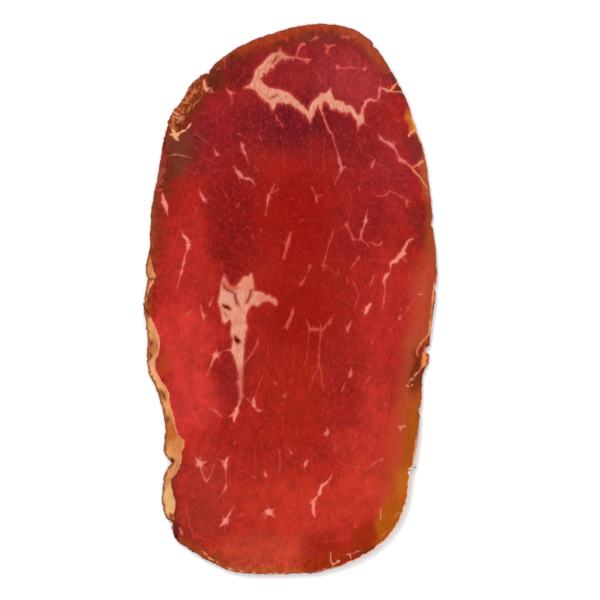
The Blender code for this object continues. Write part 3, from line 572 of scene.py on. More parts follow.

# %% [markdown]
# Drying opens cracks and small holes in the fat. They are strokes too, whose first number says how
# dark the painted shade in them is and how deep the surface sinks into them.

# %% Strokes of the cracks
CRACKS = [
    (0.5, (-18.2, 4.2, 0.3), (-18.0, 3.3, 0.4), (-17.0, 2.3, 0.45), (-15.4, 1.7, 0.4)),
    (0.62, (-15.2, 1.4, 0.4), (-15.0, 0.2, 0.5), (-14.6, -0.9, 0.5), (-14.3, -1.6, 0.3)),
    (0.62, (-10.8, 2.4, 0.4), (-10.9, 1.5, 0.45), (-11.3, 0.3, 0.45), (-12.0, -1.0, 0.3)),
    (0.5, (-10.9, 2.4, 0.2), (-9.9, 2.4, 0.25)),
    (1.0, (-18.3, -1.8, 0.5), (-17.4, -2.2, 0.8), (-16.6, -2.7, 0.5)),
    (0.35, (-17.8, -3.9, 0.4), (-17.4, -4.8, 0.4)),
    (1.0, (-15.1, -10.2, 0.3), (-14.8, -11.0, 1.0), (-14.3, -11.6, 1.1)),
    (0.7, (-4.9, 64.4, 0.2), (-4.2, 65.3, 0.35), (-3.6, 66.0, 0.2)),
    (0.3, (-6.9, 63.4, 0.15), (-5.3, 65.3, 0.2)),
    (0.3, (-9.0, 60.6, 0.2), (-8.5, 61.8, 0.2), (-7.6, 62.9, 0.15)),
    (0.55, (-5.6, 54.7, 0.15), (-4.6, 55.1, 0.3), (-3.6, 55.6, 0.15)),
    (0.3, (-2.8, 54.3, 0.15), (-0.9, 55.2, 0.15)),
    (0.7, (-39.4, 5.2, 0.3), (-38.0, 5.3, 0.35), (-37.2, 5.6, 0.2)),
    (0.9, (-39.9, -2.2, 0.5), (-39.2, -3.2, 0.6), (-38.6, -4.8, 0.4)),
    (0.4, (-38.1, -11.4, 0.2), (-37.8, -12.2, 0.5), (-38.2, -13.0, 0.2)),
    (0.5, (-38.3, -14.6, 0.3), (-38.0, -15.6, 0.5), (-38.6, -16.6, 0.3)),
    (0.45, (-35.4, -25.0, 0.2), (-34.8, -25.8, 0.45), (-34.2, -27.4, 0.4)),
    (0.4, (-33.8, -32.0, 0.2), (-33.4, -32.8, 0.5), (-33.6, -33.6, 0.2)),
    (0.9, (-32.3, -43.5, 0.4), (-32.1, -44.4, 0.6), (-33.2, -44.6, 0.3)),
    (0.8, (-32.6, -58.7, 0.4), (-32.2, -59.3, 0.5)),
    (0.8, (39.1, -0.6, 0.2), (38.9, -3.2, 0.45), (38.6, -5.6, 0.2)),
    (0.9, (37.6, -10.2, 0.3), (38.0, -11.6, 0.4), (37.2, -12.6, 0.45), (36.4, -12.1, 0.35),
     (35.8, -13.4, 0.4), (35.4, -15.0, 0.45), (35.3, -16.8, 0.3)),
    (0.6, (32.6, -46.5, 0.4), (31.8, -46.8, 0.2)),
    (0.5, (38.2, 20.6, 0.4), (37.4, 20.9, 0.2)),
]
print("cracks", len(CRACKS))

# %% [markdown]
# A few short sums tell how deep a point lies within the strokes or outlines, in millimetres, with
# negative values outside. numpy does them for all points of the surface at once.

# %% Depth within strokes and outlines
REACH = 3.0


def as_segments(strokes):
    """Rows of ax, ay, bx, by, half width at a and at b, and paleness, one for each straight bit."""
    rows = []
    for pale, *points in strokes:
        for (ax, ay, aw), (bx, by, bw) in zip(points, points[1:]):
            rows.append((ax, ay, bx, by, aw / 2.0, bw / 2.0, pale))
    return np.array(rows)


def depth_in_strokes(points, segments, reach=REACH):
    """How deep each point lies in its nearest stroke, and how wide and pale the stroke is there."""
    depth = np.full(len(points), -reach)
    half_width = np.zeros(len(points))
    pale = np.zeros(len(points))
    for ax, ay, bx, by, half_a, half_b, paleness in segments:
        margin = reach + max(half_a, half_b)
        near = np.flatnonzero(
            (points[:, 0] > min(ax, bx) - margin)
            & (points[:, 0] < max(ax, bx) + margin)
            & (points[:, 1] > min(ay, by) - margin)
            & (points[:, 1] < max(ay, by) + margin)
        )
        dx, dy = points[near, 0] - ax, points[near, 1] - ay
        along_x, along_y = bx - ax, by - ay
        length_squared = max(along_x * along_x + along_y * along_y, 1e-9)
        share = np.clip((dx * along_x + dy * along_y) / length_squared, 0.0, 1.0)
        half = half_a + (half_b - half_a) * share
        found = half - np.hypot(dx - along_x * share, dy - along_y * share)
        better = found > depth[near]
        chosen = near[better]
        depth[chosen] = found[better]
        half_width[chosen] = half[better]
        pale[chosen] = paleness
    return depth, half_width, pale


def depth_in_outline(points, outline, reach=REACH):
    """How deep each point lies within a closed outline."""
    ends = outline[1:] + outline[:1]
    edges = as_segments([(1.0, (*a, 0.0), (*b, 0.0)) for a, b in zip(outline, ends)])
    away = -depth_in_strokes(points, edges, reach)[0]
    inside = np.zeros(len(points), bool)
    for (ax, ay), (bx, by) in zip(outline, ends):
        if ay == by:
            continue
        crosses = (points[:, 1] < ay) != (points[:, 1] < by)
        at_x = ax + (points[:, 1] - ay) * (bx - ax) / (by - ay)
        inside ^= crosses & (points[:, 0] < at_x)
    return np.where(inside, away, -away)


def smooth_step(low_end, high_end, values):
    """0 below low_end, 1 above high_end, and an S curve between."""
    share = np.clip((values - low_end) / (high_end - low_end), 0.0, 1.0)
    return share * share * (3.0 - 2.0 * share)


SEGMENTS = as_segments(STROKES)
CRACK_SEGMENTS = as_segments(CRACKS)
BROAD_HALF_WIDTH = 1.5
KNOTS = 0.95
KNOT_FREQUENCY = 0.75
WOBBLES = ((0.7, 0.17, 3.0), (2.4, 0.08, 7.0))


def wobbled(points):
    """The points moved a little to and fro, so that what is measured there has no straight edge.

    Each wobble is a frequency per millimetre, an amount in millimetres and a seed.
    """
    moved = points.copy()
    for frequency, amount, seed in WOBBLES:
        for axis in (0, 1):
            layer = seed + 20.0 * axis
            moved[:, axis] += [
                amount * noise.noise((x * frequency, y * frequency, layer)) for x, y in points
            ]
    return moved


def fat_at(points):
    """Depth in the fat, half width of the fat there, and its paleness."""
    points = wobbled(points)
    depth, half_width, pale = depth_in_strokes(points, SEGMENTS)
    swell = [noise.noise((x * KNOT_FREQUENCY, y * KNOT_FREQUENCY, 31.0)) for x, y in points]
    depth += KNOTS * half_width * np.array(swell)
    for outline in (CROWN_SEAM, HEART_SEAM):
        in_seam = depth_in_outline(points, outline)
        deeper = in_seam > depth
        depth = np.where(deeper, in_seam, depth)
        half_width = np.where(deeper, BROAD_HALF_WIDTH, half_width)
        pale = np.where(deeper, 1.0, pale)
    return depth, half_width, pale


print("straight bits", len(SEGMENTS) + len(CRACK_SEGMENTS))

# %% [markdown]
# ## The surface
# The finished slice is a copy of the carried solid, so its rim and thickness are the same. Its
# loose triangles are merged first. Then its edges are split again and again where the drawing needs
# it: close to the fat and the rim to a fraction of a millimetre, and on plain lean hardly at all.

# %% Merge and split
FINEST = 0.2
COARSEST = 1.1
SPACING_GROWTH = 0.42
CRACK_SLACK = 0.1
RIND_SLACK = 0.15
UNDERSIDE_FACTOR = 2.0
FACING_DOWN = -0.6
RIM_BAND = 1.2
RIM_BAND_SPACING = 0.42
TOO_LONG = 1.35
SPLIT_TURNS = 7


def coordinates(bm):
    """The points of the mesh as an array, in millimetres."""
    return np.array([v.co[:] for v in bm.verts])


def wanted_spacing(middles, underside):
    """The longest that an edge may be at each place."""
    plan = middles[:, :2]
    from_fat = np.abs(fat_at(plan)[0])
    from_crack = np.abs(depth_in_strokes(plan, CRACK_SEGMENTS)[0])
    from_rind = np.abs(depth_in_outline(plan, RIND_OUTLINE))
    away = np.minimum(from_fat, np.minimum(from_crack + CRACK_SLACK, from_rind + RIND_SLACK))
    spacing = np.clip(FINEST + SPACING_GROWTH * away, FINEST, COARSEST)
    spacing = np.where(underside, spacing * UNDERSIDE_FACTOR, spacing)
    by_rim = rim_distance(plan) < RIM_BAND
    return np.where(by_rim, np.minimum(spacing, RIM_BAND_SPACING), spacing)


def rim_distance(plan):
    """The distance in plan from the slice's outline."""
    return -depth_in_strokes(plan, RIM_SEGMENTS, reach=14.0)[0]


def outline_segments(bm):
    """The edges of the upright wall, which in plan are the slice's outline."""
    rows = set()
    for face in bm.faces:
        if abs(face.normal.z) < 0.25:
            for edge in face.edges:
                (ax, ay, _), (bx, by, _) = (v.co for v in edge.verts)
                if math.hypot(bx - ax, by - ay) > 0.1:
                    ends = [round(value, 4) for value in (ax, ay, bx, by)]
                    rows.add((*ends, 0.0, 0.0, 1.0))
    return np.array(sorted(rows))


def split_long_edges(bm):
    """Halves every edge that is longer than wanted there, and returns how many there were."""
    bm.verts.index_update()
    bm.edges.ensure_lookup_table()
    at = coordinates(bm)
    pairs = np.array([(e.verts[0].index, e.verts[1].index) for e in bm.edges])
    a, b = at[pairs[:, 0]], at[pairs[:, 1]]
    normals = np.array([v.normal[:] for v in bm.verts])
    underside = normals[pairs[:, 0], 2] + normals[pairs[:, 1], 2] < FACING_DOWN
    lengths = np.linalg.norm(b - a, axis=1)
    too_long = np.flatnonzero(lengths > TOO_LONG * wanted_spacing((a + b) / 2.0, underside))
    edges = [bm.edges[i] for i in too_long]
    bmesh.ops.subdivide_edges(bm, edges=edges, cuts=1, use_grid_fill=True)
    bmesh.ops.triangulate(bm, faces=[f for f in bm.faces if len(f.verts) > 3])
    bm.normal_update()
    return len(edges)


bm = bmesh.new()
bm.from_mesh(carrier.data)
bmesh.ops.remove_doubles(bm, verts=bm.verts, dist=1e-6)
bmesh.ops.scale(bm, verts=bm.verts, vec=(1.0 / MM,) * 3)
bm.normal_update()
RIM_SEGMENTS = outline_segments(bm)
print("outline bits", len(RIM_SEGMENTS))
for turn in range(SPLIT_TURNS):
    print("split", split_long_edges(bm), "edges, now", len(bm.faces), "faces")

# %% Evening out the carried solid's flat facets
SMOOTHING_TURNS = 30
CLEAR_OF_FAT = 0.8
CLEAR_OF_RIND = 1.5
CLEAR_OF_RIM = 1.0

plan = coordinates(bm)[:, :2]
plain = fat_at(plan)[0] < -CLEAR_OF_FAT
plain &= depth_in_outline(plan, RIND_OUTLINE) < -CLEAR_OF_RIND
plain &= rim_distance(plan) > CLEAR_OF_RIM
plain_verts = [v for v, is_plain in zip(bm.verts, plain) if is_plain]
for turn in range(SMOOTHING_TURNS):
    bmesh.ops.smooth_vert(bm, verts=plain_verts, factor=0.5, use_axis_z=True)
bm.normal_update()
print("smoothed", len(plain_verts), "points of plain lean")

# %% [markdown]
# ## Relief
# Fat dries less than lean, so every seam and fleck stands a hair proud, and cracks sink into it. The
# lean is faintly ridged along its fibres. The crust round the rim is craggy, on the cut face and on
# the side, but it is smoother down the right, and calm round the notch at the lower right. The
# movements are a few hundredths to a few tenths of a millimetre.

# %% Raise the fat, sink the cracks and roughen the crust
FAT_RISE = 0.05
SEAM_RISE = 0.09
CRACK_DEPTH = 0.1
FIBRE_RISE = 0.03
CRUST_RISE = 0.1
CRUST_JUT = 0.17
FOLD_DEPTH = 0.14
SEAM_HALF_WIDTH = 0.9
NOTCH = (33.0, -46.0)


def noise_at(points, frequency, seed):
    """Smooth noise between about -1 and 1 at each point, with its own frequency along each axis."""
    fx, fy, fz = frequency
    return np.array([noise.noise(Vector((x * fx, y * fy, z * fz + seed))) for x, y, z in points])


bm.normal_update()
at = coordinates(bm)
normals = np.array([v.normal[:] for v in bm.verts])
plan = at[:, :2]
fat_depth, fat_half, fat_pale = fat_at(plan)
rind_depth = depth_in_outline(plan, RIND_OUTLINE)
crack_depth, _, crack_dark = depth_in_strokes(plan, CRACK_SEGMENTS)
from_rim = rim_distance(plan)
on_face = smooth_step(0.55, 0.9, normals[:, 2])
on_wall = 1.0 - smooth_step(0.35, 0.75, np.abs(normals[:, 2]))

fibres = noise_at(at, (0.9, 0.28, 0.5), 2.0)
lumps = noise_at(at, (2.2, 1.8, 1.0), 5.0)
crags = noise_at(at, (0.9, 0.9, 0.9), 9.0)
rise = FIBRE_RISE * fibres
fat_rise = np.where(fat_half > SEAM_HALF_WIDTH, SEAM_RISE, FAT_RISE)
rise += fat_rise * smooth_step(-0.1, 0.45, fat_depth) * (1.0 + 0.6 * lumps)
rise += 0.05 * lumps * smooth_step(0.0, 0.6, rind_depth)
rise += CRUST_RISE * (crags + 0.5 * lumps) * (1.0 - smooth_step(0.4, 2.2, from_rim))
rise -= CRACK_DEPTH * crack_dark ** 4 * smooth_step(-0.12, 0.2, crack_depth)
rise -= FOLD_DEPTH * smooth_step(-0.9, 0.0, crack_depth) * smooth_step(0.0, 0.5, rind_depth)
down_the_right = smooth_step(-5.0, 18.0, plan[:, 0]) * smooth_step(-68.0, -60.0, plan[:, 1])
ragged_side = 1.0 - 0.65 * down_the_right
ragged_side *= smooth_step(1.5, 4.0, np.hypot(plan[:, 0] - NOTCH[0], plan[:, 1] - NOTCH[1]))
jut = CRUST_JUT * (crags + 1.1 * lumps) * on_wall * ragged_side
outwards = normals[:, :2] / np.maximum(np.linalg.norm(normals[:, :2], axis=1), 1e-6)[:, None]
lift = rise * on_face
for v, up, out, (nx, ny) in zip(bm.verts, lift, jut, outwards):
    v.co += Vector((nx * out, ny * out, up))
bm.normal_update()
print("relief from", round(float(lift.min()), 3), "to", round(float(lift.max()), 3), "mm")

# %% The finished mesh and its measures
bmesh.ops.scale(bm, verts=bm.verts, vec=(MM,) * 3)
mesh = bpy.data.meshes.new("marbled_slice")
bm.to_mesh(mesh)
bm.free()
mesh.shade_smooth()
MEASURES = {
    "fat_depth": fat_depth,
    "fat_half": fat_half,
    "fat_pale": fat_pale,
    "rind_depth": rind_depth,
    "crack_depth": crack_depth,
    "crack_dark": crack_dark,
    "from_rim": from_rim,
}
for name, values in MEASURES.items():
    layer = mesh.attributes.new(name, "FLOAT", "POINT")
    layer.data.foreach_set("value", values.astype(np.float32))
slice_piece = bpy.data.objects.new("marbled_slice", mesh)
bpy.context.scene.collection.objects.link(slice_piece)
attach(slice_piece, "root")
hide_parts("meat_slice")
print("marbled slice", len(mesh.polygons), "triangles")

# %% [markdown]
# ## The finish
# One finish covers the whole slice, because lean, fat and crust run into each other. It starts from
# the lean, which is some thirty soft pools of red, and then lays the crust, the fat, the rind and the
# painted shade of the cracks over it. Each of those is placed by a measure that the mesh carries, in
# millimetres, roughened by fine noise so that no edge is ruled. Small helpers keep the node tree
# readable.

# %% Helpers for the node tree
LIGHT_ON_FACE = 1.28
GLOSS_FILM = 0.0055
BLACKEST = 0.001


def tone(red, green, blue):
    """The colour that looks like this one of 0 to 255 under the studio light and the film of gloss."""
    shares = [value / 255.0 for value in (red, green, blue)]
    linear = [s / 12.92 if s <= 0.04045 else ((s + 0.055) / 1.055) ** 2.4 for s in shares]
    return (*(max(value - GLOSS_FILM, BLACKEST) / LIGHT_ON_FACE for value in linear), 1.0)


class Finish:
    """A material's node tree, put together one small step at a time."""

    def __init__(self, name):
        self.material = bpy.data.materials.new(name)
        self.material.use_nodes = True
        self.tree = self.material.node_tree
        self.surface = self.tree.nodes["Principled BSDF"]
        self.place = self.node("ShaderNodeTexCoord").outputs["Object"]
        self.rightward, self.upward, self.rise = self.plan()

    def node(self, kind, **settings):
        made = self.tree.nodes.new(kind)
        for key, value in settings.items():
            setattr(made, key, value)
        return made

    def feed(self, socket, value):
        """Links an output to the socket, or sets a plain value on it."""
        if isinstance(value, bpy.types.NodeSocket):
            self.tree.links.new(value, socket)
        else:
            socket.default_value = value

    def plan(self):
        """How far to the right, up the slice and above the floor a place is, in millimetres."""
        parts = self.node("ShaderNodeSeparateXYZ")
        self.feed(parts.inputs[0], self.place)
        return [self.sum("MULTIPLY", parts.outputs[axis], 1.0 / MM) for axis in "XYZ"]

    def blend(self, share, under, over):
        """A plain value between under and over."""
        made = self.node("ShaderNodeMix")
        self.feed(made.inputs["Factor"], share)
        self.feed(made.inputs["A"], under)
        self.feed(made.inputs["B"], over)
        return made.outputs["Result"]

    def measure(self, name):
        """One of the mesh's measures."""
        return self.node("ShaderNodeAttribute", attribute_name=name).outputs["Fac"]

    def sum(self, operation, a, b=0.0, c=0.0):
        made = self.node("ShaderNodeMath", operation=operation)
        for socket, value in zip(made.inputs, (a, b, c)):
            self.feed(socket, value)
        return made.outputs[0]

    def step(self, value, low_end, high_end, first=0.0, last=1.0):
        """first below low_end, last above high_end, and an S curve between."""
        made = self.node("ShaderNodeMapRange", interpolation_type="SMOOTHSTEP")
        self.feed(made.inputs["Value"], value)
        self.feed(made.inputs["From Min"], low_end)
        self.feed(made.inputs["From Max"], high_end)
        self.feed(made.inputs["To Min"], first)
        self.feed(made.inputs["To Max"], last)
        return made.outputs["Result"]

    def mix(self, share, under, over, blend="MIX"):
        made = self.node("ShaderNodeMix", data_type="RGBA", blend_type=blend)
        self.feed(made.inputs["Factor"], share)
        self.feed(made.inputs["A"], under)
        self.feed(made.inputs["B"], over)
        return made.outputs["Result"]

    def stretched(self, scale, turn=0.0, offset=(0.0, 0.0, 0.0)):
        """The place in the slice, multiplied by the scale along each axis, per millimetre."""
        made = self.node("ShaderNodeMapping")
        self.feed(made.inputs["Vector"], self.place)
        made.inputs["Location"].default_value = offset
        made.inputs["Rotation"].default_value = (0.0, 0.0, math.radians(turn))
        made.inputs["Scale"].default_value = [value / MM for value in scale]
        return made.outputs["Vector"]

    def grain(self, scale, detail=2.0, turn=0.0, offset=(0.0, 0.0, 0.0), distortion=0.0):
        """Noise from 0 to 1 with this many lumps per millimetre along each axis."""
        made = self.node("ShaderNodeTexNoise")
        self.feed(made.inputs["Vector"], self.stretched(scale, turn, offset))
        made.inputs["Scale"].default_value = 1.0
        made.inputs["Detail"].default_value = detail
        made.inputs["Distortion"].default_value = distortion
        return made


print("helpers ready")

# %% [markdown]
# The lean is darkest and purest red in the core, wine red under the crown, and paler and pinker down
# both sides and at the foot, where it has dried least. Each pool is an ellipse with a wide soft
# edge: its middle, its two half widths and the colour it looks, in 0 to 255.

# %% Pools of lean
LEAN = tone(166, 35, 28)
LEAN_POOLS = {
    "crown": ((4, 62), (27, 13), (146, 34, 37)),
    "right of the crown": ((17, 60), (12, 9), (164, 48, 52)),
    "shoulder": ((-21, 46), (10, 13), (148, 31, 36)),
    "beside the olive patch": ((-26, 41), (5, 8), (130, 34, 35)),
    "left of the crown seam": ((-14, 61), (5, 6), (122, 27, 28)),
    "right shoulder": ((28, 36), (10, 16), (157, 37, 39)),
    "left of the core": ((-15, 21), (9, 20), (134, 23, 22)),
    "core": ((3, 23), (14, 17), (153, 22, 15)),
    "under the crown seam": ((3, 47), (22, 9), (118, 25, 31)),
    "right of the thread": ((17, 41), (8, 8), (138, 31, 33)),
    "right of the core": ((20, 20), (9, 16), (151, 31, 32)),
    "heart": ((3, -5), (13, 16), (153, 25, 18)),
    "left side": ((-29, 9), (9, 16), (180, 41, 37)),
    "left flank": ((-30, -11), (10, 11), (203, 54, 47)),
    "lower left flank": ((-27, -27), (9, 11), (203, 55, 49)),
    "right flank": ((26, -3), (9, 17), (177, 41, 37)),
    "lower right flank": ((21, -33), (11, 20), (186, 49, 39)),
    "right of the foot": ((20, -52), (8, 7), (204, 58, 43)),
    "lower left flank's foot": ((-26, -40), (6, 5), (186, 44, 36)),
    "beside the heart seam": ((-14.4, -20), (5.2, 11), (143, 33, 33)),
    "below the heart": ((1, -27), (14, 14), (166, 36, 23)),
    "right of the comb": ((15, -18), (7, 13), (156, 34, 30)),
    "below the right of the comb": ((15, -30), (5, 6), (158, 33, 30)),
    "middle of the foot": ((3, -57), (24, 12), (190, 50, 36)),
    "pocket above the foot": ((4, -47), (9, 5), (172, 40, 28)),
    "left of the foot": ((-23, -52), (9, 13), (172, 48, 37)),
    "left corner of the foot": ((-25, -60), (7, 7), (158, 45, 35)),
    "sole": ((-7, -69), (17, 6), (192, 64, 44)),
    "right of the sole": ((9, -68), (7, 4.5), (160, 38, 22)),
    "right shoulder rim": ((35, 21), (4, 6), (132, 34, 30)),
}
POOL_CORE = 0.35
POOL_EDGE = 1.3
print("pools of lean", len(LEAN_POOLS))

# %% [markdown]
# The crust is a band along the rim whose width and colour change from place to place: orange-brown
# along the crown, olive on the left shoulder where the surface mould was brushed off, amber down the
# lower right. Each stretch is a pool again, but it counts only within its width from the rim. The
# third value is that width, and the fourth says how soft its inner edge is, from 0 to 1. The fine
# lines at the very edge have a width, a colour and a strength.

# %% Stretches of crust
CRUST_STRETCHES = {
    "crown underlayer": ((-3, 70), (18, 6), 6.4, 0.6, (124, 38, 28)),
    "left of the crown underlayer": ((-17, 63), (6, 6), 4.6, 0.7, (116, 42, 28)),
    "right of the crown underlayer": ((14, 69), (12, 6), 5.0, 0.6, (126, 42, 38)),
    "below the crown's right end": ((22, 62), (6, 7), 5.0, 0.7, (134, 44, 40)),
    "shoulder underlayer": ((-26, 53), (10, 12), 8.0, 0.6, (118, 42, 22)),
    "dark notch": ((-20.3, 58.8), (3.2, 3.4), 6.6, 0.6, (106, 40, 27)),
    "red beside the olive patch": ((-34, 41), (6, 9), 7.5, 0.6, (122, 40, 26)),
    "olive patch": ((-29.4, 39.5), (4.2, 7.0), 11.0, 0.6, (118, 54, 38)),
    "below the olive patch": ((-34, 31.5), (5, 7), 6.4, 0.6, (120, 44, 27)),
    "crown": ((-1, 75), (22, 9), 4.2, 0.6, (168, 60, 32)),
    "dark of the crown": ((0, 68.2), (5, 1.8), 7.0, 0.5, (128, 43, 30)),
    "dark right of the crown's middle": ((8.5, 70.8), (6.5, 2.8), 7.0, 0.5, (128, 47, 37)),
    "crown left": ((-17, 68), (9, 7), 1.8, 0.7, (150, 60, 28)),
    "shoulder": ((-29, 54), (7, 9), 4.0, 0.4, (158, 66, 28)),
    "pink beside the olive patch": ((-36.4, 36), (2.2, 4.6), 3.4, 0.6, (150, 48, 46)),
    "upper left": ((-37.4, 28), (6, 10), 2.0, 0.7, (168, 76, 52)),
    "left": ((-38, 17), (7, 14), 5.6, 0.8, (142, 48, 30)),
    "brown of the left": ((-39, 14), (5, 14), 1.8, 0.8, (152, 66, 36)),
    "left lip": ((-40, -1), (4, 4), 2.4, 0.6, (150, 74, 32)),
    "beside the fold": ((-34.6, -18), (2.4, 3), 9.0, 0.3, (186, 62, 36)),
    "right of the crown": ((20.5, 68.5), (8, 8), 4.0, 0.7, (172, 70, 40)),
    "dark right of the crown": ((29, 57), (3, 5), 1.6, 0.7, (112, 36, 32)),
    "amber right of the crown": ((32.4, 47.6), (2.3, 3.8), 2.6, 0.8, (204, 110, 44)),
    "dark above the chain": ((33.4, 41), (4.4, 4.4), 5.4, 0.6, (136, 40, 40)),
    "right upper": ((37, 33), (3.2, 6.5), 3.0, 0.8, (176, 82, 44)),
    "dark beside the chain": ((38, 22.5), (2.6, 3.4), 2.6, 0.7, (150, 64, 34)),
    "right": ((40, 12), (5, 9), 4.6, 0.8, (164, 70, 36)),
    "wash beside the waist": ((37, -4), (9, 15), 9.0, 0.7, (192, 70, 48)),
    "right waist": ((40, -2), (5, 11), 3.4, 0.7, (168, 70, 34)),
    "wash beside the torn corner": ((33, -20), (8, 13), 8.4, 0.7, (176, 72, 44)),
    "torn corner": ((34.0, -20.5), (3.4, 7.0), 4.6, 0.4, (122, 46, 8)),
    "lower right wash": ((33, -46), (13, 20), 10.5, 0.8, (188, 74, 40)),
    "lower right": ((35, -40), (6, 14), 4.4, 0.5, (170, 80, 22)),
    "ochre of the lower right": ((32, -50.5), (5, 4.5), 5.0, 0.6, (188, 98, 26)),
    "amber corner": ((28, -62), (8, 9), 6.8, 0.4, (176, 84, 14)),
    "red beside the amber": ((20, -64), (3.4, 7), 9.0, 0.3, (160, 44, 18)),
    "end of the amber": ((21, -68.4), (3.0, 2.2), 3.0, 0.6, (132, 46, 22)),
    "foot": ((-10, -77), (19, 7), 3.2, 0.7, (184, 78, 40)),
    "foot right": ((10.5, -72), (8, 6), 6.0, 0.5, (160, 46, 16)),
    "foot left": ((-24, -68), (9, 6), 3.4, 0.6, (150, 60, 30)),
    "left corner of the foot": ((-31.4, -63.0), (2.1, 2.8), 2.5, 0.4, (92, 31, 32)),
}
RIM_LINES = {
    "crown": ((0, 72), (38, 34), 0.4, (132, 72, 52), 0.85),
    "left": ((-38, 14), (8, 20), 0.35, (124, 66, 36), 0.6),
    "right": ((40, 22), (8, 34), 0.4, (166, 94, 56), 0.75),
    "nicks on the right": ((34, 46), (5, 3.4), 0.4, (240, 176, 96), 0.8),
    "lower right": ((27, -60), (20, 22), 0.48, (250, 218, 190), 1.0),
    "foot": ((-10, -76), (24, 8), 0.35, (150, 84, 56), 0.6),
}
# Painted shade on the lean beside the rind's foot.
SHADE_BESIDE_THE_RIND = tone(128, 44, 30)
# Painted highlight and painted shade on the shoulder's flakes.
FLAKE_HIGHLIGHT = tone(234, 164, 104)
FLAKE_SHADE = tone(96, 40, 18)
print("stretches of crust", len(CRUST_STRETCHES), "and lines along the rim", len(RIM_LINES))


# %% Pools and streaks
FIBRE_CENTRE = (0.0, 26.0)
STREAKS_ROUND = 62.0
STREAKS_ALONG = 0.45


def pool_share(finish, middle, radii, warp, core=POOL_CORE):
    """1 in the middle of an ellipse and 0 outside, with a wide soft edge bent by the warp."""
    made = finish.node("ShaderNodeVectorMath", operation="MULTIPLY_ADD")
    finish.feed(made.inputs[0], warp)
    made.inputs[1].default_value = (1.0 / radii[0], 1.0 / radii[1], 0.0)
    made.inputs[2].default_value = (-middle[0] / radii[0], -middle[1] / radii[1], 0.0)
    length = finish.node("ShaderNodeVectorMath", operation="LENGTH")
    finish.feed(length.inputs[0], made.outputs[0])
    return finish.step(length.outputs["Value"], core, POOL_EDGE, 1.0, 0.0)


def warped_place(finish, amount, scale):
    """The place in millimetres, moved by smooth noise, so that no pool is an even ellipse."""
    drift = finish.grain((scale, scale, scale), 2.0).outputs["Color"]
    centred = finish.node("ShaderNodeVectorMath", operation="SUBTRACT")
    finish.feed(centred.inputs[0], drift)
    centred.inputs[1].default_value = (0.5, 0.5, 0.5)
    moved = finish.node("ShaderNodeVectorMath", operation="MULTIPLY_ADD")
    finish.feed(moved.inputs[0], centred.outputs[0])
    moved.inputs[1].default_value = (amount, amount, 0.0)
    finish.feed(moved.inputs[2], finish.stretched((1.0, 1.0, 1.0)))
    return moved.outputs[0]


def scaled(finish, colour, level):
    """The colour made darker or lighter by the level."""
    made = finish.node("ShaderNodeHueSaturation")
    finish.feed(made.inputs["Color"], colour)
    finish.feed(made.inputs["Value"], level)
    return made.outputs["Color"]


def fan_streaks(finish):
    """Fine noise drawn out along the fibres, which fan out upwards from the core."""
    parts = finish.node("ShaderNodeSeparateXYZ")
    finish.feed(parts.inputs[0], warped_place(finish, 3.0, 0.15))
    x = finish.sum("SUBTRACT", parts.outputs["X"], FIBRE_CENTRE[0])
    y = finish.sum("SUBTRACT", parts.outputs["Y"], FIBRE_CENTRE[1])
    angle = finish.sum("ARCTAN2", x, y)
    squares = finish.sum("ADD", finish.sum("MULTIPLY", x, x), finish.sum("MULTIPLY", y, y))
    reach = finish.sum("SQRT", squares)
    joined = finish.node("ShaderNodeCombineXYZ")
    finish.feed(joined.inputs["X"], finish.sum("MULTIPLY", angle, STREAKS_ROUND))
    finish.feed(joined.inputs["Y"], finish.sum("MULTIPLY", reach, STREAKS_ALONG))
    streaks = finish.node("ShaderNodeTexNoise")
    finish.feed(streaks.inputs["Vector"], joined.outputs[0])
    streaks.inputs["Scale"].default_value = 1.0
    streaks.inputs["Detail"].default_value = 3.0
    return streaks.outputs["Fac"]


print("fibres fan out from", FIBRE_CENTRE)

# %% Colour of the lean
PINK_FROST = tone(206, 70, 72)
WARM_FROST = tone(214, 66, 50)
CALM_CORE = ((2, 8), (15, 42))


def lean_colour(finish):
    """The pools of red, then the fibres' fine streaks, the lean's mottle and a pale frost of fat."""
    warp = warped_place(finish, 9.0, 0.13)
    colour = LEAN
    for middle, radii, shade in LEAN_POOLS.values():
        colour = finish.mix(pool_share(finish, middle, radii, warp), colour, tone(*shade))
    calm = pool_share(finish, *CALM_CORE, warp)
    lively = finish.step(calm, 0.0, 1.0, 1.0, 0.55)
    upper = finish.step(finish.upward, 22.0, 34.0)
    straight = finish.grain((2.4, 0.7, 1.0), 3.0, 6.0).outputs["Fac"]
    streaks = finish.blend(upper, straight, fan_streaks(finish))
    mottle = finish.grain((0.34, 0.28, 0.3), 4.0).outputs["Fac"]
    grain = finish.grain((3.6, 3.0, 3.0), 2.0, 0.0, (5.0, 0.0, 0.0)).outputs["Fac"]
    swing = finish.step(upper, 0.0, 1.0, 0.125, 0.15)
    swing = finish.sum("MULTIPLY", finish.step(streaks, 0.28, 0.72, -1.0, 1.0), swing)
    level = finish.sum("ADD", swing, finish.step(grain, 0.25, 0.75, -0.09, 0.09))
    level = finish.sum("ADD", level, finish.step(mottle, 0.3, 0.7, -0.14, 0.14))
    colour = scaled(finish, colour, finish.sum("MULTIPLY_ADD", level, lively, 1.0))
    frost = finish.grain((1.3, 0.9, 1.0), 5.0, 0.0, (0.0, 4.0, 0.0)).outputs["Fac"]
    frost = finish.sum("MULTIPLY", finish.step(frost, 0.48, 0.78, 0.0, 0.38), lively)
    frost_tone = finish.mix(upper, WARM_FROST, PINK_FROST)
    colour = finish.mix(frost, colour, frost_tone)
    hairs = finish.sum("MULTIPLY", finish.step(streaks, 0.6, 0.74, 0.0, 0.26), lively)
    return finish.mix(hairs, colour, frost_tone)


print("lean laid from", len(LEAN_POOLS), "pools")

# %% Crust over the lean
FLAKY_SHOULDER = ((-29.5, 53.5), (6.5, 9))
# Where the lean gets painted shade beside the rind's foot.
RIND_FOOT_SHADE_POOL = ((-31, -54), (5, 9))


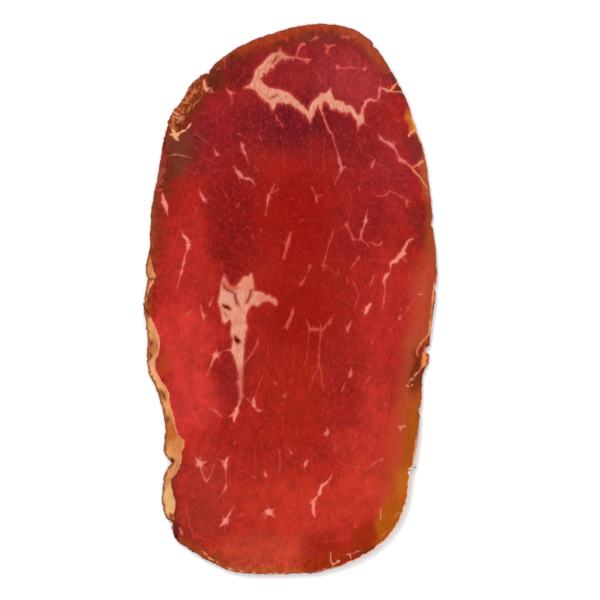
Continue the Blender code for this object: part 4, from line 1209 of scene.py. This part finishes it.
def crust_over(finish, colour):
    """The stretches of crust laid along the rim, and the fine lines at its very edge.

    Also painted highlights and painted shade on the shoulder's flakes,
    and painted shade on the lean beside the rind's foot.
    """
    warp = warped_place(finish, 4.0, 0.3)
    from_rim = finish.measure("from_rim")
    ragged = finish.grain((0.7, 0.7, 0.7), 3.0, 0.0, (3.0, 0.0, 0.0)).outputs["Fac"]
    raggedness = finish.step(finish.rightward, 12.0, 26.0, 1.1, 0.3)
    swing = finish.sum("MULTIPLY", finish.step(ragged, 0.25, 0.75, -1.0, 1.0), raggedness)
    near = finish.sum("ADD", from_rim, swing)
    patchy = finish.step(finish.grain((1.0, 0.6, 0.8), 5.0).outputs["Fac"], 0.32, 0.68, -0.24, 0.2)
    patchiness = finish.step(finish.rightward, 10.0, 24.0, 1.0, 0.4)
    blotch = finish.sum("MULTIPLY_ADD", patchy, patchiness, 1.0)
    for middle, radii, width, softness, shade in CRUST_STRETCHES.values():
        band = finish.step(near, width * (1.0 - softness), width, 1.0, 0.0)
        share = finish.sum("MULTIPLY", band, pool_share(finish, middle, radii, warp, 0.6))
        colour = finish.mix(share, colour, tone(*shade))
    crusty = finish.step(near, 2.5, 6.0, 1.0, 0.0)
    colour = scaled(finish, colour, finish.blend(crusty, 1.0, blotch))
    # Painted highlights along the rims of the shoulder's flakes, and painted shade on their darker
    # patches.
    flaky = pool_share(finish, *FLAKY_SHOULDER, warp, 0.7)
    flaky = finish.sum("MULTIPLY", flaky, finish.step(near, 2.4, 4.4, 1.0, 0.0))
    flakes = finish.grain((0.8, 0.42, 1.0), 4.0, 35.0, (0.0, 0.0, 8.0), distortion=1.2).outputs["Fac"]
    cells = finish.node("ShaderNodeTexVoronoi", feature="DISTANCE_TO_EDGE")
    finish.feed(cells.inputs["Vector"], finish.stretched((0.85, 0.45, 0.8), 38.0))
    cells.inputs["Scale"].default_value = 1.0
    lit_rims = finish.step(cells.outputs["Distance"], 0.0, 0.24, 0.42, 0.0)
    lit = finish.sum("MULTIPLY", lit_rims, finish.step(flakes, 0.45, 0.6))
    shaded = finish.step(flakes, 0.36, 0.5, 0.8, 0.0)
    colour = finish.mix(finish.sum("MULTIPLY", flaky, lit), colour, FLAKE_HIGHLIGHT)
    colour = finish.mix(finish.sum("MULTIPLY", flaky, shaded), colour, FLAKE_SHADE)
    from_edge = finish.sum("ADD", from_rim, finish.step(finish.rise, 0.45, 0.85, 2.0, 0.0))
    for middle, radii, width, shade, strength in RIM_LINES.values():
        waver = finish.step(ragged, 0.3, 0.7, -0.3 * width, 0.3 * width)
        edge = finish.sum("ADD", from_edge, waver)
        band = finish.step(edge, 0.6 * width, 1.3 * width, strength, 0.0)
        share = finish.sum("MULTIPLY", band, pool_share(finish, middle, radii, warp, 0.7))
        colour = finish.mix(share, colour, tone(*shade))
    # Painted shade on the lean beside the rind's foot.
    shade = finish.step(finish.measure("rind_depth"), -1.5, -0.2, 0.0, 0.8)
    share = finish.sum("MULTIPLY", shade, pool_share(finish, *RIND_FOOT_SHADE_POOL, warp, 0.6))
    return finish.mix(share, colour, SHADE_BESIDE_THE_RIND)


print("crust ready")

# %% [markdown]
# Thin threads of fat look red, because lean shines through them. Flecks are pink, and only the broad
# seams are cream. Near the rim all of them are stained by the crust, so each region has its own tint.

# %% Fat
THREAD = tone(204, 72, 62)
FLECK = tone(242, 136, 122)
BROAD_FAT = tone(234, 160, 136)
DEEP_FAT = tone(216, 130, 106)
FLECK_TINTS = {
    "flecks of the core": ((4, 4), (13, 28), (208, 88, 76)),
    "flecks below the core": ((4, -20), (9, 12), (210, 90, 76)),
    "end of the crown thread": ((13, 36), (5, 6), (208, 108, 98)),
    "chain": ((28, 40), (8, 8), (218, 122, 118)),
    "flecks of the shoulder": ((-17, 40), (10, 13), (220, 116, 110)),
    "flecks of the crown": ((12, 66), (14, 7), (212, 106, 100)),
}
FAT_TINTS = {
    "cheek of the heart seam": ((-17.6, 0.3), (2.6, 3.4), (226, 155, 135)),
    "its left ear": ((-17.9, 4.6), (1.2, 2.4), (212, 120, 102)),
    "its right ear": ((-12.2, 4.4), (2.0, 2.6), (227, 140, 110)),
    "its fold": ((-16.1, 3.1), (2.3, 0.9), (204, 100, 74)),
    "its arm": ((-6.0, 0.2), (3.2, 2.0), (220, 126, 106)),
    "top of the crown seam": ((-1.8, 66.2), (2.8, 1.8), (208, 128, 106)),
    "foot of the heart seam": ((-13.6, -24.0), (2.0, 5.5), (204, 106, 90)),
    "right rim": ((37.5, -4.0), (3.0, 11.0), (228, 150, 90)),
    "torn corner": ((36.0, -15.0), (2.5, 5.5), (230, 142, 78)),
    "crumbs": ((33.0, -22.0), (2.4, 2.6), (230, 174, 132)),
    "lower right rim": ((32.5, -46.0), (4.0, 16.0), (228, 150, 96)),
    "amber corner": ((27.0, -60.0), (5.0, 7.0), (222, 142, 76)),
    "foot right": ((14.0, -71.0), (8.0, 3.5), (240, 166, 132)),
    "foot": ((-13.0, -74.0), (24.0, 6.0), (228, 160, 112)),
    "shoulder rim": ((-30.0, 48.0), (5.0, 10.0), (232, 172, 124)),
    "right of the crown": ((28.0, 57.0), (3.0, 4.0), (226, 150, 104)),
    "crumbs above the chain": ((33.1, 45.4), (1.9, 1.9), (232, 158, 104)),
    "end of the chain": ((36.0, 34.0), (2.6, 6.0), (226, 140, 96)),
    "notch": ((-23.4, 58.4), (2.4, 3.0), (224, 150, 108)),
}


def fat_over(finish, colour):
    """Threads red, flecks pink, and broad seams cream with a grain along them."""
    half = finish.measure("fat_half")
    pale = finish.measure("fat_pale")
    feather = finish.grain((4.2, 2.0, 2.0), 3.0, 0.0, (0.0, 7.0, 0.0)).outputs["Fac"]
    swing = finish.step(half, 0.1, 1.2, 0.22, 0.6)
    shift = finish.sum("MULTIPLY", finish.sum("SUBTRACT", feather, 0.5), swing)
    depth = finish.sum("ADD", finish.measure("fat_depth"), shift)
    grain = finish.grain((1.9, 0.6, 1.0), 4.0, -50.0, (0.0, 0.0, 5.0)).outputs["Fac"]
    broad = finish.mix(finish.step(grain, 0.3, 0.66), DEEP_FAT, BROAD_FAT)
    strength = finish.sum("MULTIPLY", half, pale)
    fleck = FLECK
    place = finish.stretched((1.0, 1.0, 1.0))
    for middle, radii, shade in FLECK_TINTS.values():
        fleck = finish.mix(pool_share(finish, middle, radii, place, 0.6), fleck, tone(*shade))
    fat = finish.mix(finish.step(strength, 0.06, 0.42), THREAD, fleck)
    fat = finish.mix(finish.step(half, 0.75, 1.2), fat, broad)
    for middle, radii, shade in FAT_TINTS.values():
        fat = finish.mix(pool_share(finish, middle, radii, place, 0.6), fat, tone(*shade))
    heart_of_it = finish.step(depth, 0.0, finish.step(half, 0.1, 0.9, 0.12, 0.4), 0.3, 1.0)
    fat = finish.mix(heart_of_it, THREAD, fat)
    halo_strength = finish.step(strength, 0.0, 0.7, 0.0, 0.5)
    halo = finish.sum("MULTIPLY", finish.step(depth, -0.75, 0.0), halo_strength)
    colour = finish.mix(halo, colour, THREAD)
    cover = finish.step(pale, 0.1, 0.9, 0.4, 1.0)
    share = finish.sum("MULTIPLY", finish.step(depth, -0.13, 0.15), cover)
    return finish.mix(share, colour, fat)


print("tints of fat", len(FLECK_TINTS) + len(FAT_TINTS))

# %% [markdown]
# The rind is the layer of fat under the skin. It has dried to wax: cream in its lobes, tan with painted
# shade in the folds between them, pink where it meets the lean and brown at its outer edge. A crack is
# painted shade: a darker, redder fat, and a hole is the darkest of them.

# %% Rind
RIND_CREAM = tone(232, 166, 106)
RIND_INSIDE = tone(236, 148, 112)
RIND_EDGE = tone(138, 78, 40)
# Painted shade in the rind's folds.
RIND_FOLD_SHADE = tone(172, 104, 54)
# The first and second fold are darker than the lobes: painted shade in the folds.
RIND_TINTS = {
    "first lobe": ((-38.5, 9), (4, 4.5), (208, 134, 78)),
    "second lobe": ((-38.5, 3.5), (4, 3), (214, 138, 88)),
    "third lobe": ((-38, -8), (4, 5), (230, 156, 100)),
    "shade in the first fold": ((-37.4, -13.2), (3, 3.2), (190, 112, 62)),
    "fourth lobe": ((-37, -19), (4, 4), (238, 170, 118)),
    "shade in the second fold": ((-35, -25.8), (3, 2), (206, 130, 76)),
    "fifth lobe": ((-33.8, -30), (3, 3.4), (230, 154, 94)),
    "amber fold": ((-32.6, -36), (5, 5), (196, 104, 44)),
    "knuckle": ((-30.4, -41.2), (3.2, 2.6), (214, 132, 76)),
    "pinch": ((-31.4, -46), (3, 3), (210, 132, 84)),
    "below the pinch": ((-33.4, -50), (2.6, 2.2), (178, 98, 46)),
    "last lobe": ((-33, -55), (3, 6.5), (232, 176, 116)),
    "end": ((-32.6, -60.5), (3, 1.6), (176, 104, 54)),
}
PINK_SIDE = ((-35, -16), (7, 22))


def rind_over(finish, colour):
    """The rind: cream lobes, tan folds with painted shade, pink inside and brown along its outer edge.
    """
    ragged = finish.grain((1.0, 1.0, 1.0), 3.0, 0.0, (0.0, 0.0, 2.0)).outputs["Fac"]
    depth = finish.sum("ADD", finish.measure("rind_depth"), finish.step(ragged, 0.3, 0.7, -0.1, 0.1))
    warp = warped_place(finish, 1.6, 0.5)
    fat = RIND_CREAM
    for middle, radii, shade in RIND_TINTS.values():
        fat = finish.mix(pool_share(finish, middle, radii, warp, 0.3), fat, tone(*shade))
    waxy = finish.grain((0.9, 0.5, 0.7), 4.0, 12.0, (9.0, 0.0, 0.0)).outputs["Fac"]
    fat = scaled(finish, fat, finish.step(waxy, 0.3, 0.7, 0.84, 1.12))
    pink = pool_share(finish, *PINK_SIDE, warp, 0.8)
    lip = finish.sum("MULTIPLY", finish.step(depth, 0.25, 0.8, 1.0, 0.0), pink)
    fat = finish.mix(lip, fat, RIND_INSIDE)
    # Painted shade beside the rind's cracks, in its folds.
    shade_near_fold = finish.step(finish.measure("crack_depth"), -0.7, -0.05, 0.0, 0.7)
    fat = finish.mix(shade_near_fold, fat, RIND_FOLD_SHADE)
    edge = finish.sum("ADD", finish.measure("from_rim"), finish.step(ragged, 0.3, 0.7, -0.25, 0.25))
    fat = finish.mix(finish.step(edge, 0.25, 1.0, 0.9, 0.0), fat, RIND_EDGE)
    return finish.mix(finish.step(depth, -0.06, 0.1), colour, fat)


print("tints of the rind", len(RIND_TINTS))

# %% Painted shade in the cracks
# Painted shade in a crack, deepest in a hole, and softer on the fat beside a crack.
CRACK_SHADE = tone(158, 60, 42)
HOLE_SHADE = tone(136, 40, 22)
SHADE_BESIDE_A_CRACK = tone(190, 88, 66)


def crack_shade_over(finish, colour):
    """Painted shade: cracks and holes darkest in the middle, and softer on the fat beside them."""
    fine = finish.grain((4.0, 4.0, 4.0), 2.0).outputs["Fac"]
    waver = finish.step(fine, 0.3, 0.7, -0.06, 0.06)
    depth = finish.sum("ADD", finish.measure("crack_depth"), waver)
    dark = finish.measure("crack_dark")
    # Painted shade on the fat beside a crack.
    close = finish.step(depth, -0.9, 0.0, 0.0, 0.8)
    beside = finish.sum("MULTIPLY", close, finish.step(dark, 0.2, 0.8))
    in_fat = finish.step(finish.measure("fat_depth"), 0.0, 0.4)
    colour = finish.mix(finish.sum("MULTIPLY", beside, in_fat), colour, SHADE_BESIDE_A_CRACK)
    strength = finish.step(dark, 0.0, 0.6, 0.3, 1.0)
    share = finish.sum("MULTIPLY", finish.step(depth, -0.22, 0.12), strength)
    # The painted shade in the cracks, deepest in the holes.
    darkest = finish.mix(finish.step(dark, 0.6, 0.95), CRACK_SHADE, HOLE_SHADE)
    return finish.mix(share, colour, darkest)


print("cracks ready")

# %% [markdown]
# The face is moist but not wet: a broad, weak gloss, weaker on the crust. The bump under it is one
# fine grain over the whole face, drawn out up the slice, too fine for the mesh.

# %% The slice's finish
SHEEN = 0.09
MOIST_ROUGHNESS = 0.42
CRUST_ROUGHNESS = 0.62
BUMP_STRENGTH = 0.35
BUMP_DEPTH = 0.05


def make_slice_finish():
    """Lean, crust, fat, rind and the painted shade of the cracks, laid over each other in this order.
    """
    finish = Finish("air-dried beef")
    colour = lean_colour(finish)
    colour = crust_over(finish, colour)
    colour = fat_over(finish, colour)
    colour = rind_over(finish, colour)
    colour = crack_shade_over(finish, colour)
    finish.feed(finish.surface.inputs["Base Color"], colour)
    crusty = finish.step(finish.measure("from_rim"), 0.3, 2.5, 1.0, 0.0)
    wet = finish.step(finish.grain((1.1, 0.7, 1.0), 3.0).outputs["Fac"], 0.3, 0.7, -0.06, 0.08)
    dry = finish.step(crusty, 0.0, 1.0, MOIST_ROUGHNESS, CRUST_ROUGHNESS)
    finish.feed(finish.surface.inputs["Roughness"], finish.sum("ADD", dry, wet))
    finish.surface.inputs["Specular IOR Level"].default_value = SHEEN
    fine = finish.grain((5.0, 1.8, 3.0), 4.0, 8.0).outputs["Fac"]
    bump = finish.node("ShaderNodeBump")
    bump.inputs["Strength"].default_value = BUMP_STRENGTH
    bump.inputs["Distance"].default_value = BUMP_DEPTH * MM
    finish.feed(bump.inputs["Height"], fine)
    finish.feed(finish.surface.inputs["Normal"], bump.outputs["Normal"])
    return finish.material


slice_piece.data.materials.append(make_slice_finish())
print("finish on", slice_piece.name)

# %% [markdown]
# ## Flakes at the rim
# Where the rim was dry enough to crumble, small flakes stand off it, and one hair of sinew sticks out
# at the notch on the right. They are too ragged for the slice's own wall, so they are small shapes of
# their own that grow out of it: round blobs, squashed, turned and roughened. Each has its place, its
# length, its width and its turn in degrees.

# %% Shapes of the flakes
FLAKES = [
    (5.7, -74.9, 1.7, 0.7, 18), (-4.6, -75.0, 1.1, 0.5, 5), (-9.6, -74.9, 0.8, 0.5, -8),
    (-16.2, -73.9, 1.0, 0.5, -22), (-19.8, -72.2, 0.9, 0.5, -32), (-22.6, -70.4, 1.2, 0.6, -35),
    (-30.9, -62.6, 1.7, 1.1, -62), (-33.3, 48.6, 1.3, 0.6, 60), (-31.6, 51.8, 1.1, 0.6, 55),
    (-29.9, 54.6, 1.2, 0.6, 60), (-27.2, 57.4, 1.0, 0.5, 48), (-24.1, 60.1, 0.9, 0.6, 70),
    (-18.2, 66.0, 0.8, 0.4, 60), (28.4, 59.6, 0.8, 0.4, -58), (30.3, 55.2, 0.7, 0.4, -64),
    (33.6, 47.2, 0.8, 0.4, -66), (-40.2, -1.9, 1.9, 0.4, 108), (36.9, -17.2, 1.2, 0.6, 76),
    (34.9, -23.6, 1.0, 0.5, 80),
]
HAIR = (33.6, -46.1, 2.8, 0.24, -2)
FLAKE_THICKNESS = 0.55
FLAKE_HEIGHT = 0.75
ROUGHENING = 0.35


def on_the_outline(x, y):
    """The place on the slice's outline that is nearest to x, y."""
    a, b = RIM_SEGMENTS[:, 0:2], RIM_SEGMENTS[:, 2:4]
    along = b - a
    towards = np.array([x, y]) - a
    share = np.clip((towards * along).sum(axis=1) / (along * along).sum(axis=1), 0.0, 1.0)
    places = a + along * share[:, None]
    return places[np.argmin(np.hypot(places[:, 0] - x, places[:, 1] - y))]


def add_flake(bm, x, y, length, width, turn, seed):
    """A squashed and roughened blob that grows out of the slice's side."""
    made = bmesh.ops.create_icosphere(bm, subdivisions=3, radius=0.5)["verts"]
    for v in made:
        v.co *= 1.0 + ROUGHENING * noise.noise(v.co * 3.2 + Vector((seed * 7.0, 0.0, 0.0)))
    bmesh.ops.scale(bm, verts=made, vec=(length, width, min(FLAKE_THICKNESS, 1.2 * width)))
    turned = Matrix.Rotation(math.radians(turn), 3, "Z")
    bmesh.ops.rotate(bm, verts=made, cent=(0, 0, 0), matrix=turned)
    bmesh.ops.translate(bm, verts=made, vec=(*on_the_outline(x, y), FLAKE_HEIGHT))


bm = bmesh.new()
for seed, flake in enumerate([*FLAKES, HAIR]):
    add_flake(bm, *flake, seed)
bmesh.ops.scale(bm, verts=bm.verts, vec=(MM,) * 3)
mesh = bpy.data.meshes.new("rim_flakes")
bm.to_mesh(mesh)
bm.free()
mesh.shade_smooth()
flakes_piece = bpy.data.objects.new("rim_flakes", mesh)
bpy.context.scene.collection.objects.link(flakes_piece)
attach(flakes_piece, "root")
print("flakes", len(FLAKES), "and a hair,", len(mesh.polygons), "triangles")

# %% The flakes' finish
def make_flake_finish():
    """Dry crust, from dark brown to amber."""
    finish = Finish("dry crust")
    grain = finish.grain((1.4, 1.4, 1.4), 4.0).outputs["Fac"]
    colour = finish.mix(finish.step(grain, 0.35, 0.62), tone(120, 52, 26), tone(206, 128, 66))
    finish.feed(finish.surface.inputs["Base Color"], colour)
    finish.surface.inputs["Roughness"].default_value = CRUST_ROUGHNESS
    finish.surface.inputs["Specular IOR Level"].default_value = SHEEN
    return finish.material


flakes_piece.data.materials.append(make_flake_finish())
print("finish on", flakes_piece.name)
